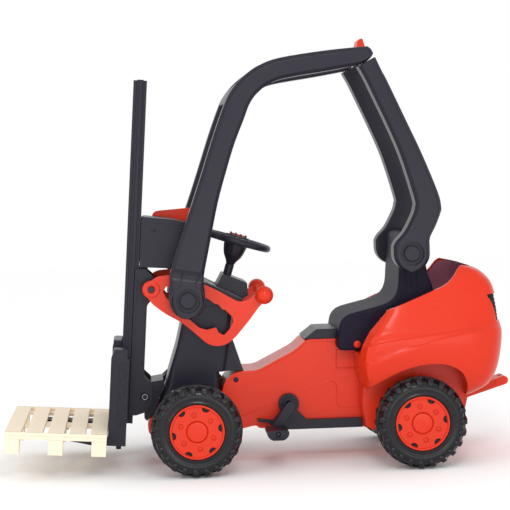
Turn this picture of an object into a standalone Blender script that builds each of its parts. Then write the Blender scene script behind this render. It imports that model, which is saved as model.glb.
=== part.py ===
"""A pedal-driven toy forklift, as separate moulded and turned pieces.

World frame: metres, +Z up, the forks point to -X and the driver sits at +X. The origin is on
the ground under the middle of the whole toy. Outlines are drawn in the side plane as (x, z),
with x measured back from the front axle and z up from the ground. The mast is drawn upright
about its foot hinge, and an empty on that hinge leans it back.
"""

import math

import bmesh
import bpy
from mathutils import Matrix, Vector
from mathutils.geometry import tessellate_polygon

# ---- Clearances -------------------------------------------------------------------------
GAP = 0.0004  # between pieces that touch
RUN = 0.0010  # round a shaft that turns in its hole
SWING = 0.0030  # beside a piece that swings or slides past
PAST = 0.080  # how far out a cutter through the body reaches

# ---- Wheels and track -------------------------------------------------------------------
FRONT_AXLE_X = -0.160  # world x of the front axle
WHEELBASE = 0.510
HALF_TRACK = 0.200  # middle of a tyre from the centre plane
WHEEL_R = 0.104
AXLE_Z = 0.104  # the height at which the axles are drawn; larger wheels lift the whole toy
TYRE_WIDTH = 0.070
RIM_R = 0.062
AXLE_R = 0.006
WHEEL_SEGMENTS = 24

# ---- Body and drive ---------------------------------------------------------------------
BODY_HALF = 0.065
WALL = 0.0035
BODY_TOP = 0.285
BODY_TAIL_X = 0.455
CRANK_X, CRANK_Z = 0.221, 0.137
CRANK_ARM = 0.062
CRANK_ANGLE = math.radians(234.0)  # where the left pedal stands at rest
CRANK_HALF = 0.113  # inner face of a crank arm
PEDAL_LENGTH, PEDAL_WIDTH, PEDAL_HEIGHT = 0.050, 0.072, 0.024
CHAINRING_R = 0.032
SPROCKET_R = 0.020
CHAIN_Y = 0.020
CHAIN_WIDTH = 0.006
CHAIN_THICK = 0.005
RAIL_THICK = 0.015  # the black rails that carry the crank bearings

# ---- Steering ---------------------------------------------------------------------------
COLUMN_TILT = math.radians(17.4)
STEER_X, STEER_Z = 0.114, 0.519  # middle of the steering wheel's rim
STEER_R = 0.083
STEER_RIM_R = 0.0085
COLUMN_R = 0.007
COLUMN_FOOT_Z = 0.066
DROP_ARM = 0.031
KING_Y = 0.128
KNUCKLE_ARM = 0.045
TIE_Z = 0.048
TIE_THICK = 0.006

# ---- Tower, console and overhead guard --------------------------------------------------
TOWER_TOP = 0.375
TOWER_HALF = 0.075
CONSOLE_HALF = 0.090
RAISED_HALF = 0.050
GUARD_HALF = 0.165  # outer face of a hoop
GUARD_THICK = 0.053
BOSS_X, BOSS_Z = -0.010, 0.393
BOSS_R = 0.0415
REAR_BOSS_X, REAR_BOSS_Z = 0.505, 0.485
REAR_BOSS_R = 0.0420
GUARD_STRETCH = 1.0  # height of the hoops above their bosses, against the drawn one
POST_LIFT = (REAR_BOSS_Z - BOSS_Z) * (GUARD_STRETCH - 1)  # what a taller hoop adds to the post's top
CHAMFER = 0.008
CAP_R = 0.019
RECESS_R = 0.0275
RECESS_DEPTH = 0.008
STUB_R = 0.008
HUMP_HALF = 0.028  # the raised middle of the rear roof bar

# ---- Seat and counterweight -------------------------------------------------------------
SEAT_HALF = 0.108
SEAT_RAIL_HALF = 0.058
SEAT_RAIL_TOP = 0.308
COVER_HALF = 0.205
COVER_WALL = 0.010
COVER_FLOOR = 0.285
POCKET_FRONT = 0.444  # inside of the pocket's front wall
MOUTH_HALF = 0.165  # the opening in front of it, for the seat
SKIRT_HALF = 0.130
ARCH_X = WHEELBASE + 0.015
ARCH_R = WHEEL_R + 0.026
FLOOR_CUT = 0.05  # cutters that open downwards start at this height
HITCH_HALF = 0.024
VENT_HALF = 0.165
VENT_LOW, VENT_HIGH = 0.322, 0.386
VENT_SINK, VENT_THICK = 0.003, 0.004

# ---- Mast, drawn upright about its hinge -------------------------------------------------
HINGE_X, HINGE_Z = -0.114, 0.164
MAST_LEAN = math.radians(4.2)
MAST_TOP = 0.733
MAST_FOOT = -0.065
RAIL_INNER, RAIL_OUTER = 0.030, 0.056  # a column's faces, from the centre plane
RAIL_FRONT, RAIL_BACK = -0.057, -0.026
CHEEK = 0.008  # thickness of the outer rail's side plate
OUTER_TOP = 0.298
HINGE_PIN_R = 0.0065
LEVER_X, LEVER_Z = 0.0037, 0.2542  # lever pivot on the mast
LEVER_INNER, LEVER_THICK = 0.098, 0.008
LEVER_SHAFT_R = 0.0065
KNOB_R = 0.021
WINCH_LOW, WINCH_HIGH, WINCH_BACK = 0.302, 0.419, 0.088
WINCH_X, WINCH_Z = 0.022, 0.372
DRUM_R = 0.018
HANDLE_REACH = 0.083

# ---- Carriage, forks and pallet ----------------------------------------------------------
FORK_Y = 0.125  # middle of a fork from the centre plane
FORK_WIDTH = 0.044
FORK_FRONT, FORK_BACK = -0.081, -0.040
FORK_HEEL = -0.103
FORK_TOP = 0.118
FORK_LEDGE = 0.096
FORK_TIP = -0.253
BLADE_TOP = -0.0885
PALLET_HALF = 0.190
PALLET_BACK, PALLET_LENGTH = -0.083, 0.229
PALLET_BASE = -0.121
BLOCK_HEIGHT = 0.034
BOARD = 0.008
BLOCK_WIDTH = 0.034

SIDES = (("left", -1), ("right", 1))

PAINT = {
    "red_plastic": ((0.800, 0.045, 0.022, 1), 0.32, 0.0),
    "black_plastic": ((0.030, 0.029, 0.040, 1), 0.42, 0.0),
    "tyre_black": ((0.012, 0.013, 0.013, 1), 0.28, 0.0),
    "steel": ((0.45, 0.46, 0.48, 1), 0.35, 1.0),
    "pallet_cream": ((0.86, 0.72, 0.52, 1), 0.55, 0.0),
}


def clear_scene():
    for thing in list(bpy.data.objects):
        bpy.data.objects.remove(thing, do_unlink=True)


def make_materials():
    made = {}
    for name, (colour, roughness, metallic) in PAINT.items():
        material = bpy.data.materials.new(name)
        material.use_nodes = True
        shader = material.node_tree.nodes["Principled BSDF"]
        shader.inputs["Base Color"].default_value = colour
        shader.inputs["Roughness"].default_value = roughness
        shader.inputs["Metallic"].default_value = metallic
        material.diffuse_color = colour
        made[name] = material
    return made


# ---- Shape helpers ------------------------------------------------------------------------
def faces_outward(bm):
    bmesh.ops.recalc_face_normals(bm, faces=bm.faces[:])
    return bm


def plate(outline, low, high, holes=()):
    """The outline, with its holes, pushed along Y from low to high."""
    loops = [[Vector((x, 0, z)) for x, z in loop] for loop in (outline, *holes)]
    points = [point for loop in loops for point in loop]
    bm = bmesh.new()
    near = [bm.verts.new((p.x, low, p.z)) for p in points]
    far = [bm.verts.new((p.x, high, p.z)) for p in points]
    for a, b, c in tessellate_polygon(loops):
        bm.faces.new((near[a], near[b], near[c]))
        bm.faces.new((far[c], far[b], far[a]))
    start = 0
    for loop in loops:
        count = len(loop)
        for i in range(count):
            a, b = start + i, start + (i + 1) % count
            bm.faces.new((near[a], near[b], far[b], far[a]))
        start += count
    return faces_outward(bm)


def stack(rings):
    """Rings of equally many points joined into a tube, with a flat cap on each end."""
    bm = bmesh.new()
    made = [[bm.verts.new(point) for point in ring] for ring in rings]
    for low, high in zip(made, made[1:]):
        for i in range(len(low)):
            j = (i + 1) % len(low)
            bm.faces.new((low[i], low[j], high[j], high[i]))
    bm.faces.new(made[0])
    bm.faces.new(made[-1])
    return faces_outward(bm)


def turned(profile, segments=28):
    """A profile of (radius, height) turned about Z; a radius of 0 is a point on the axis."""
    bm = bmesh.new()
    rings = []
    for radius, height in profile:
        if radius == 0:
            rings.append([bm.verts.new((0, 0, height))])
            continue
        rings.append(
            [
                bm.verts.new(
                    (
                        radius * math.cos(2 * math.pi * k / segments),
                        radius * math.sin(2 * math.pi * k / segments),
                        height,
                    )
                )
                for k in range(segments)
            ]
        )
    for ring, after in zip(rings, rings[1:] + rings[:1]):
        if len(ring) == 1 and len(after) == 1:
            continue
        for k in range(segments):
            n = (k + 1) % segments
            corners = [ring[k % len(ring)], ring[n % len(ring)], after[n % len(after)], after[k % len(after)]]
            bm.faces.new(list(dict.fromkeys(corners)))
    return faces_outward(bm)


def prism_z(outline, low, high):
    """A plan outline of (x, y) points pushed up from low to high."""
    return stack([[(x, y, z) for x, y in outline] for z in (low, high)])


def boxes_joined(*boxes):
    """One closed body from boxes ((x0, x1), (y0, y1), (z0, z1)) that share faces or overlap."""
    cuts = [sorted({round(v, 6) for box in boxes for v in box[axis]}) for axis in range(3)]
    middles = [[(a + b) / 2 for a, b in zip(cut, cut[1:])] for cut in cuts]

    def solid(cell):
        if any(not 0 <= cell[a] < len(middles[a]) for a in range(3)):
            return False
        point = [middles[a][cell[a]] for a in range(3)]
        return any(all(box[a][0] < point[a] < box[a][1] for a in range(3)) for box in boxes)

    bm = bmesh.new()
    verts = {}

    def vert(corner):
        if corner not in verts:
            verts[corner] = bm.verts.new([cuts[a][corner[a]] for a in range(3)])
        return verts[corner]

    counts = [len(m) for m in middles]
    for cell in ((i, j, k) for i in range(counts[0]) for j in range(counts[1]) for k in range(counts[2])):
        if not solid(cell):
            continue
        for axis in range(3):
            u, v = (axis + 1) % 3, (axis + 2) % 3
            for step in (0, 1):
                beside = list(cell)
                beside[axis] += 2 * step - 1
                if solid(beside):
                    continue
                corner = list(cell)
                corner[axis] += step
                quad = []
                for du, dv in ((0, 0), (1, 0), (1, 1), (0, 1)):
                    point = list(corner)
                    point[u] += du
                    point[v] += dv
                    quad.append(vert(tuple(point)))
                bm.faces.new(quad if step else quad[::-1])
    bmesh.ops.dissolve_limit(
        bm, angle_limit=0.01, verts=bm.verts[:], edges=bm.edges[:], use_dissolve_boundaries=False
    )
    bmesh.ops.triangulate(bm, faces=bm.faces[:])
    return bm


def box(x, y, z):
    return boxes_joined((x, y, z))


def moved(bm, matrix):
    bmesh.ops.transform(bm, matrix=matrix, verts=bm.verts[:])
    return bm


def along_y(bm, x=0.0, y=0.0, z=0.0, side=1):
    """A shape drawn about +Z, turned so that its height runs along Y towards side."""
    turn = Matrix.Rotation(-math.pi / 2 * side, 4, "X")
    return moved(bm, Matrix.Translation((x, y, z)) @ turn)


def rod_y(x, z, radius, low, high, segments=16):
    return along_y(turned([(0, low), (radius, low), (radius, high), (0, high)], segments), x, 0, z)


def rod_z(x, y, radius, low, high, segments=16):
    bm = turned([(0, low), (radius, low), (radius, high), (0, high)], segments)
    return moved(bm, Matrix.Translation((x, y, 0)))


def arc(x, z, radius, start, end, count):
    """Points on an arc, from start to end in degrees, anticlockwise positive."""
    angles = [math.radians(start + (end - start) * k / count) for k in range(count + 1)]
    return [(x + radius * math.cos(a), z + radius * math.sin(a)) for a in angles]


def circle(x, z, radius, count=16):
    return arc(x, z, radius, 0, 360, count)[:-1]


class Builder:
    """Makes the objects, each under its parent empty, with its cutters hidden beside it."""

    def __init__(self, materials):
        self.materials = materials
        self.pivots = {}

    def pivot(self, name, place, tilt=0.0, parent=None):
        empty = bpy.data.objects.new(name, None)
        bpy.context.scene.collection.objects.link(empty)
        empty.location = place
        empty.rotation_euler = (0, tilt, 0)
        if parent:
            empty.parent = self.pivots[parent]
        empty.empty_display_size = 0.03
        self.pivots[name] = empty

    def linked(self, name, bm, parent, origin):
        moved(bm, Matrix.Translation(-Vector(origin)))
        mesh = bpy.data.meshes.new(name)
        bm.to_mesh(mesh)
        bm.free()
        thing = bpy.data.objects.new(name, mesh)
        bpy.context.scene.collection.objects.link(thing)
        thing.location = origin
        thing.parent = self.pivots[parent]
        return thing

    def add(self, name, bm, paint, parent="vehicle", cut=(), join=(), origin=(0, 0, 0)):
        thing = self.linked(name, bm, parent, origin)
        thing.data.materials.append(self.materials[paint])
        thing.data.shade_smooth()
        thing.data.set_sharp_from_angle(angle=math.radians(35))
        shapes = [("UNION", shape) for shape in join] + [("DIFFERENCE", shape) for shape in cut]
        for number, (operation, shape) in enumerate(shapes):
            helper = self.linked(f"{name}_shape_{number}", shape, parent, origin)
            helper.hide_render = True
            helper.hide_viewport = True
            helper.display_type = "WIRE"
            modifier = thing.modifiers.new(f"{operation.lower()}_{number}", "BOOLEAN")
            modifier.operation = operation
            modifier.object = helper
            modifier.solver = "EXACT"
        return thing


# ---- Body --------------------------------------------------------------------------------
BODY_OUTLINE = [
    (-0.109, 0.104), (-0.108, 0.078), (-0.094, 0.069), (0.098, 0.078), (0.145, 0.088),
    (0.150, 0.080), (0.392, 0.080), (0.400, 0.072), (BODY_TAIL_X, 0.072),
    (BODY_TAIL_X, 0.262), (0.345, BODY_TOP), (0.265, BODY_TOP), (0.241, 0.262), (0.150, 0.2165),
    (0.112, 0.2165), (0.088, 0.208), (0.072, 0.190), (0.062, 0.150), (-0.080, 0.150), (-0.088, 0.128),
]


def inset(outline, amount):
    """The outline moved inwards by amount, corner by corner; it runs anticlockwise."""
    moved_in = []
    count = len(outline)
    for i in range(count):
        before, here, after = (Vector(outline[(i + k) % count]) for k in (-1, 0, 1))
        first, second = (here - before).normalized(), (after - here).normalized()
        normals = [Vector((-d.y, d.x)) for d in (first, second)]
        half = (normals[0] + normals[1]).normalized()
        moved_in.append(tuple(here + half * (amount / max(0.35, half.dot(normals[0])))))
    return moved_in


def column_shape(radius, low, high):
    """A rod along the steering column, between two heights above the ground."""
    lean = Matrix.Rotation(COLUMN_TILT, 4, "Y")
    slope = 1 / math.cos(COLUMN_TILT)
    bm = turned(
        [(0, (low - STEER_Z) * slope), (radius, (low - STEER_Z) * slope),
         (radius, (high - STEER_Z) * slope), (0, (high - STEER_Z) * slope)], 20
    )
    return moved(bm, Matrix.Translation((STEER_X, 0, STEER_Z)) @ lean)


def make_body(build):
    inner = inset(BODY_OUTLINE, WALL)
    inner = [(x + (0.02 if x > BODY_TAIL_X - 2 * WALL else 0), z) for x, z in inner]
    beam_tunnel = box((-0.022, 0.022), (-PAST, PAST), (AXLE_Z - 0.024, AXLE_Z + 0.024))
    for name, side in SIDES:
        low, high = sorted((side * GAP / 2, side * BODY_HALF))
        cut_low, cut_high = sorted((-side * 0.01, side * (BODY_HALF - WALL)))
        cutters = [
            plate(inner, cut_low, cut_high),
            rod_y(CRANK_X, CRANK_Z, AXLE_R + RUN, -PAST, PAST),
            column_shape(COLUMN_R + 2 * RUN, 0.040, 0.300),
            beam_tunnel.copy(),
        ]
        build.add(f"body_shell_{name}", plate(BODY_OUTLINE, low, high), "red_plastic", cut=cutters)


def make_side_rails(build):
    hump = arc(CRANK_X, CRANK_Z, 0.0245, -40, 220, 12)
    outline = [
        (0.148, 0.0975), (0.172, 0.095), (0.183, 0.083), (0.217, 0.077), (0.308, 0.0765),
        (0.3945, 0.0765), (0.3905, 0.106), (0.254, 0.107), *hump, (0.190, 0.106), (0.148, 0.106),
    ]
    for name, side in SIDES:
        low, high = sorted((side * (BODY_HALF + GAP), side * (BODY_HALF + RAIL_THICK)))
        hole = circle(CRANK_X, CRANK_Z, AXLE_R + RUN)
        build.add(f"side_rail_{name}", plate(outline, low, high, [hole]), "black_plastic")


def make_drive(build):
    arm = Vector((math.cos(CRANK_ANGLE), math.sin(CRANK_ANGLE))) * CRANK_ARM
    thick = 0.010
    shapes = []
    for side, way in ((-1, 1), (1, -1)):
        low, high = sorted((side * CRANK_HALF, side * (CRANK_HALF + thick)))
        end = Vector((CRANK_X, CRANK_Z)) + arm * way
        angle = math.degrees(math.atan2(arm.y * way, arm.x * way))
        outline = arc(end.x, end.y, 0.009, angle - 90, angle + 90, 6)
        outline += arc(CRANK_X, CRANK_Z, 0.011, angle + 90, angle + 270, 6)
        shapes.append(plate(outline, low, high))
        spindle = sorted((side * (CRANK_HALF + thick / 2), side * (CRANK_HALF + thick + PEDAL_WIDTH)))
        shapes.append(rod_y(end.x, end.y, 0.0045, *spindle, segments=12))
        pedal_low = CRANK_HALF + thick + 2 * RUN
        low, high = sorted((side * pedal_low, side * (pedal_low + PEDAL_WIDTH)))
        half = PEDAL_LENGTH / 2
        corner = 0.006
        tall = PEDAL_HEIGHT / 2
        outline = [
            (end.x + u * (half - a), end.y + v * (tall - b))
            for u, v, order in ((1, 1, 0), (-1, 1, 1), (-1, -1, 0), (1, -1, 1))
            for a, b in (((0, corner), (corner, 0)) if not order else ((corner, 0), (0, corner)))
        ]
        hole = circle(end.x, end.y, 0.0045 + RUN, 12)
        name = "left" if side < 0 else "right"
        origin = (end.x, 0, end.y)
        build.add(f"pedal_{name}", plate(outline, low, high, [hole]), "black_plastic", origin=origin)
    shaft = rod_y(CRANK_X, CRANK_Z, AXLE_R, -CRANK_HALF - thick / 2, CRANK_HALF + thick / 2)
    centre = (CRANK_X, 0, CRANK_Z)
    build.add("crankshaft", shaft, "steel", join=shapes, origin=centre)

    def cog(x, z, radius, half_width):
        """A sprocket blank just inside the chain, on its shaft."""
        hole = circle(x, z, AXLE_R + GAP)
        rim = circle(x, z, radius - RUN, 20)
        return plate(rim, CHAIN_Y - half_width, CHAIN_Y + half_width, [hole])

    half_cog = CHAIN_WIDTH / 2 - 0.001
    build.add("chainring", cog(CRANK_X, CRANK_Z, CHAINRING_R, half_cog), "steel", origin=centre)
    axle = (WHEELBASE, 0, AXLE_Z)
    build.add("rear_sprocket", cog(WHEELBASE, AXLE_Z, SPROCKET_R, half_cog), "steel", origin=axle)

    def belt(grow):
        """The belt line round both sprockets, grown outwards."""
        run = Vector((WHEELBASE - CRANK_X, AXLE_Z - CRANK_Z))
        heading = math.degrees(math.atan2(run.y, run.x))
        lift = math.degrees(math.asin((CHAINRING_R - SPROCKET_R) / run.length))
        up, down = heading + 90 - lift, heading - 90 + lift
        loop = arc(CRANK_X, CRANK_Z, CHAINRING_R + grow, up, down + 360, 14)
        return loop + arc(WHEELBASE, AXLE_Z, SPROCKET_R + grow, down, up, 12)

    low, high = CHAIN_Y - CHAIN_WIDTH / 2, CHAIN_Y + CHAIN_WIDTH / 2
    build.add("chain", plate(belt(CHAIN_THICK), low, high, [belt(GAP)]), "steel")
    reach = HALF_TRACK + 0.018
    build.add("rear_axle", rod_y(WHEELBASE, AXLE_Z, AXLE_R, -reach, reach), "steel", origin=axle)


# ---- Wheels and steering -----------------------------------------------------------------
def tyre_shape():
    half = TYRE_WIDTH / 2
    bead = half - 0.004
    side = [
        (RIM_R + GAP, bead), (RIM_R + 0.006, half - 0.001), (RIM_R + 0.020, half),
        (WHEEL_R - 0.014, half - 0.003), (WHEEL_R - 0.005, half - 0.010), (WHEEL_R, half - 0.024),
    ]
    return [*side, *[(r, -h) for r, h in reversed(side)]]


def rim_shape(bore):
    half = TYRE_WIDTH / 2
    lip, disc = half - 0.005, half - 0.009
    inside = -half + 0.008
    return [
        (0, disc), (RIM_R - 0.008, disc), (RIM_R - 0.005, lip), (RIM_R, lip), (RIM_R, inside),
        (RIM_R - 0.005, inside), (RIM_R - 0.007, disc - 0.010), (0.016, disc - 0.010),
        (0.016, inside - 0.005), (bore, inside - 0.005), (bore, disc - 0.005), (0, disc - 0.005),
    ]


def make_wheels(build):
    for end, x, bore in (("front", 0, AXLE_R + RUN), ("rear", WHEELBASE, AXLE_R + GAP)):
        for name, side in SIDES:
            place = (x, side * HALF_TRACK, AXLE_Z)
            for piece, profile, paint in (
                ("tyre", tyre_shape(), "tyre_black"),
                ("rim", rim_shape(bore), "red_plastic"),
            ):
                bm = along_y(turned(profile, WHEEL_SEGMENTS), *place, side=side)
                build.add(f"{piece}_{end}_{name}", bm, paint, origin=place)


def make_steering(build):
    lug = 0.013
    web_out = KING_Y - 0.016
    heights = (AXLE_Z - 0.031, AXLE_Z - 0.021, AXLE_Z + 0.021, AXLE_Z + 0.031)
    boxes = [((-lug, lug), (-web_out, web_out), (AXLE_Z - 0.014, AXLE_Z + 0.014))]
    for side in (-1, 1):
        web = tuple(sorted((side * (web_out - 0.008), side * web_out)))
        ear = tuple(sorted((side * (web_out - 0.008), side * (KING_Y + lug))))
        boxes.append(((-lug, lug), web, (heights[0], heights[3])))
        boxes.append(((-lug, lug), ear, (heights[0], heights[1])))
        boxes.append(((-lug, lug), ear, (heights[2], heights[3])))
    kings = [rod_z(0, s * KING_Y, AXLE_R + RUN, 0, 0.3) for s in (-1, 1)]
    kings.append(column_shape(COLUMN_R + RUN, 0.040, 0.200))
    build.add("front_axle_beam", boxes_joined(*boxes), "black_plastic", cut=kings)

    pin_low = TIE_Z - 0.003
    arm_low = TIE_Z + TIE_THICK + RUN
    arm_high = heights[0] - 2 * RUN
    barrel = (heights[1] + 2 * RUN, heights[2] - 2 * RUN)
    king = [
        (0, arm_low + 0.001), (AXLE_R, arm_low + 0.001), (AXLE_R, barrel[0]), (0.011, barrel[0]),
        (0.011, barrel[1]), (AXLE_R, barrel[1]), (AXLE_R, heights[3] + 0.004), (0, heights[3] + 0.004),
    ]
    for name, side in SIDES:
        y = side * KING_Y
        pin = moved(turned(king, 20), Matrix.Translation((0, y, 0)))
        stub = rod_y(0, AXLE_Z, AXLE_R, *sorted((y - side * 0.003, side * (HALF_TRACK + 0.018))))
        tip = KNUCKLE_ARM + 0.007
        plan = [(-0.010, y - 0.010), (tip, y - 0.007), (tip, y + 0.007), (-0.010, y + 0.010)]
        arm = prism_z(plan, arm_low, arm_high)
        peg = rod_z(KNUCKLE_ARM, y, 0.004, pin_low, arm_high - 0.001)
        build.add(f"knuckle_{name}", pin, "steel", join=[stub, arm, peg], origin=(0, y, AXLE_Z))

    foot_x = STEER_X - (STEER_Z - COLUMN_FOOT_Z) * math.tan(COLUMN_TILT)
    drop_x = foot_x + DROP_ARM * math.cos(COLUMN_TILT)
    tie = (TIE_Z, TIE_Z + TIE_THICK)
    bar = ((KNUCKLE_ARM - 0.007, KNUCKLE_ARM + 0.007), (-KING_Y - 0.011, KING_Y + 0.011), tie)
    tongue = ((drop_x - 0.022, KNUCKLE_ARM), (-0.013, 0.013), tie)
    ends = [
        ((KNUCKLE_ARM - 0.013, KNUCKLE_ARM + 0.011), (s * KING_Y - 0.011, s * KING_Y + 0.011), tie)
        for s in (-1, 1)
    ]
    slots = [
        box((KNUCKLE_ARM - 0.009, KNUCKLE_ARM + 0.006), (s * KING_Y - 0.0055, s * KING_Y + 0.0055), (0.0, 0.2))
        for s in (-1, 1)
    ]
    # The leaning peg swings forwards and rises at full lock, so its slot is long.
    slots.append(box((drop_x - 0.017, drop_x + 0.009), (-0.0065, 0.0065), (0.0, 0.2)))
    build.add("tie_rod", boxes_joined(bar, tongue, *ends), "steel", cut=slots)

    lean = Matrix.Translation((STEER_X, 0, STEER_Z)) @ Matrix.Rotation(COLUMN_TILT, 4, "Y")
    length = (STEER_Z - COLUMN_FOOT_Z) / math.cos(COLUMN_TILT)
    arm = moved(box((-0.004, DROP_ARM + 0.007), (-0.007, 0.007), (-length, -length + 0.006)), lean)
    peg = moved(
        turned([(0, -length - 0.018), (0.0045, -length - 0.018), (0.0045, -length + 0.003), (0, -length + 0.003)], 14),
        lean @ Matrix.Translation((DROP_ARM, 0, 0)),
    )
    hub_low = -0.058
    column_top = STEER_Z + (hub_low - GAP) * math.cos(COLUMN_TILT)
    column = column_shape(COLUMN_R, COLUMN_FOOT_Z + 0.001, column_top)
    centre = (STEER_X, 0, STEER_Z)
    build.add("steering_column", column, "black_plastic", join=[arm, peg], origin=centre)

    rim = bmesh.new()
    around, across = 24, 8
    grid = []
    for i in range(around):
        a = 2 * math.pi * i / around
        ring = []
        for j in range(across):
            b = 2 * math.pi * j / across
            r = STEER_R - STEER_RIM_R + STEER_RIM_R * math.cos(b)
            ring.append(rim.verts.new((r * math.cos(a), r * math.sin(a), STEER_RIM_R * math.sin(b))))
        grid.append(ring)
    for i in range(around):
        for j in range(across):
            n, m = (i + 1) % around, (j + 1) % across
            rim.faces.new((grid[i][j], grid[n][j], grid[n][m], grid[i][m]))
    faces_outward(rim)
    hub = turned(
        [
            (0, hub_low), (0.010, hub_low), (0.013, -0.050), (0.021, -0.038), (0.026, -0.022),
            (0.029, -0.006), (0.031, 0.004), (0.031, 0.009), (0.026, 0.012), (0, 0.013),
        ],
        24,
    )
    reach = STEER_R - STEER_RIM_R
    spokes = [
        moved(box((0.010, reach), (-0.011, 0.011), (-0.004, 0.004)), lean @ Matrix.Rotation(math.radians(a), 4, "Z"))
        for a in (0, 110, 250)
    ]
    shapes = [moved(hub, lean), *spokes]
    build.add("steering_wheel", moved(rim, lean), "black_plastic", join=shapes, origin=centre)


# ---- Tower and console -------------------------------------------------------------------
def rounded_ring(front, back, half, z, corner=0.016, count=4):
    """A rectangle with round corners at height z, as points in order."""
    ring = []
    for cx, cy, start in (
        (back - corner, half - corner, 0), (front + corner, half - corner, 90),
        (front + corner, -half + corner, 180), (back - corner, -half + corner, 270),
    ):
        for k in range(count + 1):
            a = math.radians(start + 90 * k / count)
            ring.append((cx + corner * math.cos(a), cy + corner * math.sin(a), z))
    return ring


def make_tower(build):
    base = 0.150 + GAP
    levels = [
        (base, -0.078, 0.0615, 0.066), (0.190, -0.062, 0.071, 0.068), (0.220, -0.056, 0.075, 0.070),
        (0.280, -0.036, 0.086, 0.073), (0.330, -0.024, 0.092, TOWER_HALF), (TOWER_TOP, -0.030, 0.100, TOWER_HALF),
    ]
    # The back of the tower stops short of the raised front of the body.
    levels = [(z, front, min(back, 0.0615) if z < 0.2169 else back, half) for z, front, back, half in levels]
    rings = [rounded_ring(front, back, half, z) for z, front, back, half in levels]
    gusset = plate([(0.060, 0.2169), (0.118, 0.2169), (0.092, 0.300), (0.060, 0.300)], -0.056, 0.056)
    cut = [column_shape(COLUMN_R + RUN + 0.001, 0.100, 0.420)]
    build.add("front_tower", stack(rings), "black_plastic", join=[gusset], cut=cut)


def make_console(build):
    base = TOWER_TOP + GAP
    tray = [
        (-0.050, base), (0.100, base), (0.118, 0.379), (0.120, 0.386), (0.069, 0.4105), (0.035, 0.4285),
        (-0.036, 0.426), (-0.050, 0.416),
    ]
    raised = [(0.040, 0.400), (0.114, 0.382), (0.134, 0.391), (0.133, 0.4215), (0.077, 0.4445), (0.060, 0.4145)]
    reach = GUARD_HALF - GUARD_THICK - GAP
    stub = rod_y(BOSS_X, BOSS_Z, STUB_R, -reach, reach)
    cut = [column_shape(COLUMN_R + RUN, 0.300, 0.500)]
    body = plate(tray, -CONSOLE_HALF, CONSOLE_HALF)
    top = plate(raised, -RAISED_HALF, RAISED_HALF)
    build.add("console", body, "black_plastic", join=[stub, top], cut=cut)


# ---- Overhead guard ----------------------------------------------------------------------
def bar_rings(stations, side):
    """Chamfered sections of a hoop between pairs of edge points, on one side of the toy."""
    rings = []
    outer, inner = GUARD_HALF, GUARD_HALF - GUARD_THICK
    for (ax, az), (bx, bz) in stations:
        a, b = Vector((ax, az)), Vector((bx, bz))
        across = b - a
        cut = min(CHAMFER, 0.3 * across.length)
        small = min(0.004, 0.15 * across.length)
        way = across.normalized()
        ring = []
        for point, y in (
            (a + way * cut, outer), (a, outer - cut), (a, inner + small), (a + way * small, inner),
            (b - way * small, inner), (b, inner + small), (b, outer - cut), (b - way * cut, outer),
        ):
            ring.append((point.x, side * y, point.y))
        rings.append(ring)
    return rings


def foot_stations(x, z, radius, heading, count=5):
    """Stations across the round foot of a bar, from its lowest edge up to its middle."""
    way = Vector((math.cos(heading), math.sin(heading)))
    across = Vector((way.y, -way.x))
    stations = []
    for k in range(count):
        a = math.radians(12 + 78 * k / (count - 1))
        middle = Vector((x, z)) - way * radius * math.cos(a)
        half = across * radius * math.sin(a)
        stations.append((tuple(middle - half), tuple(middle + half)))
    return stations


def lifted(points, foot):
    return [(x, foot + (z - foot) * GUARD_STRETCH) for x, z in points]


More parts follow.
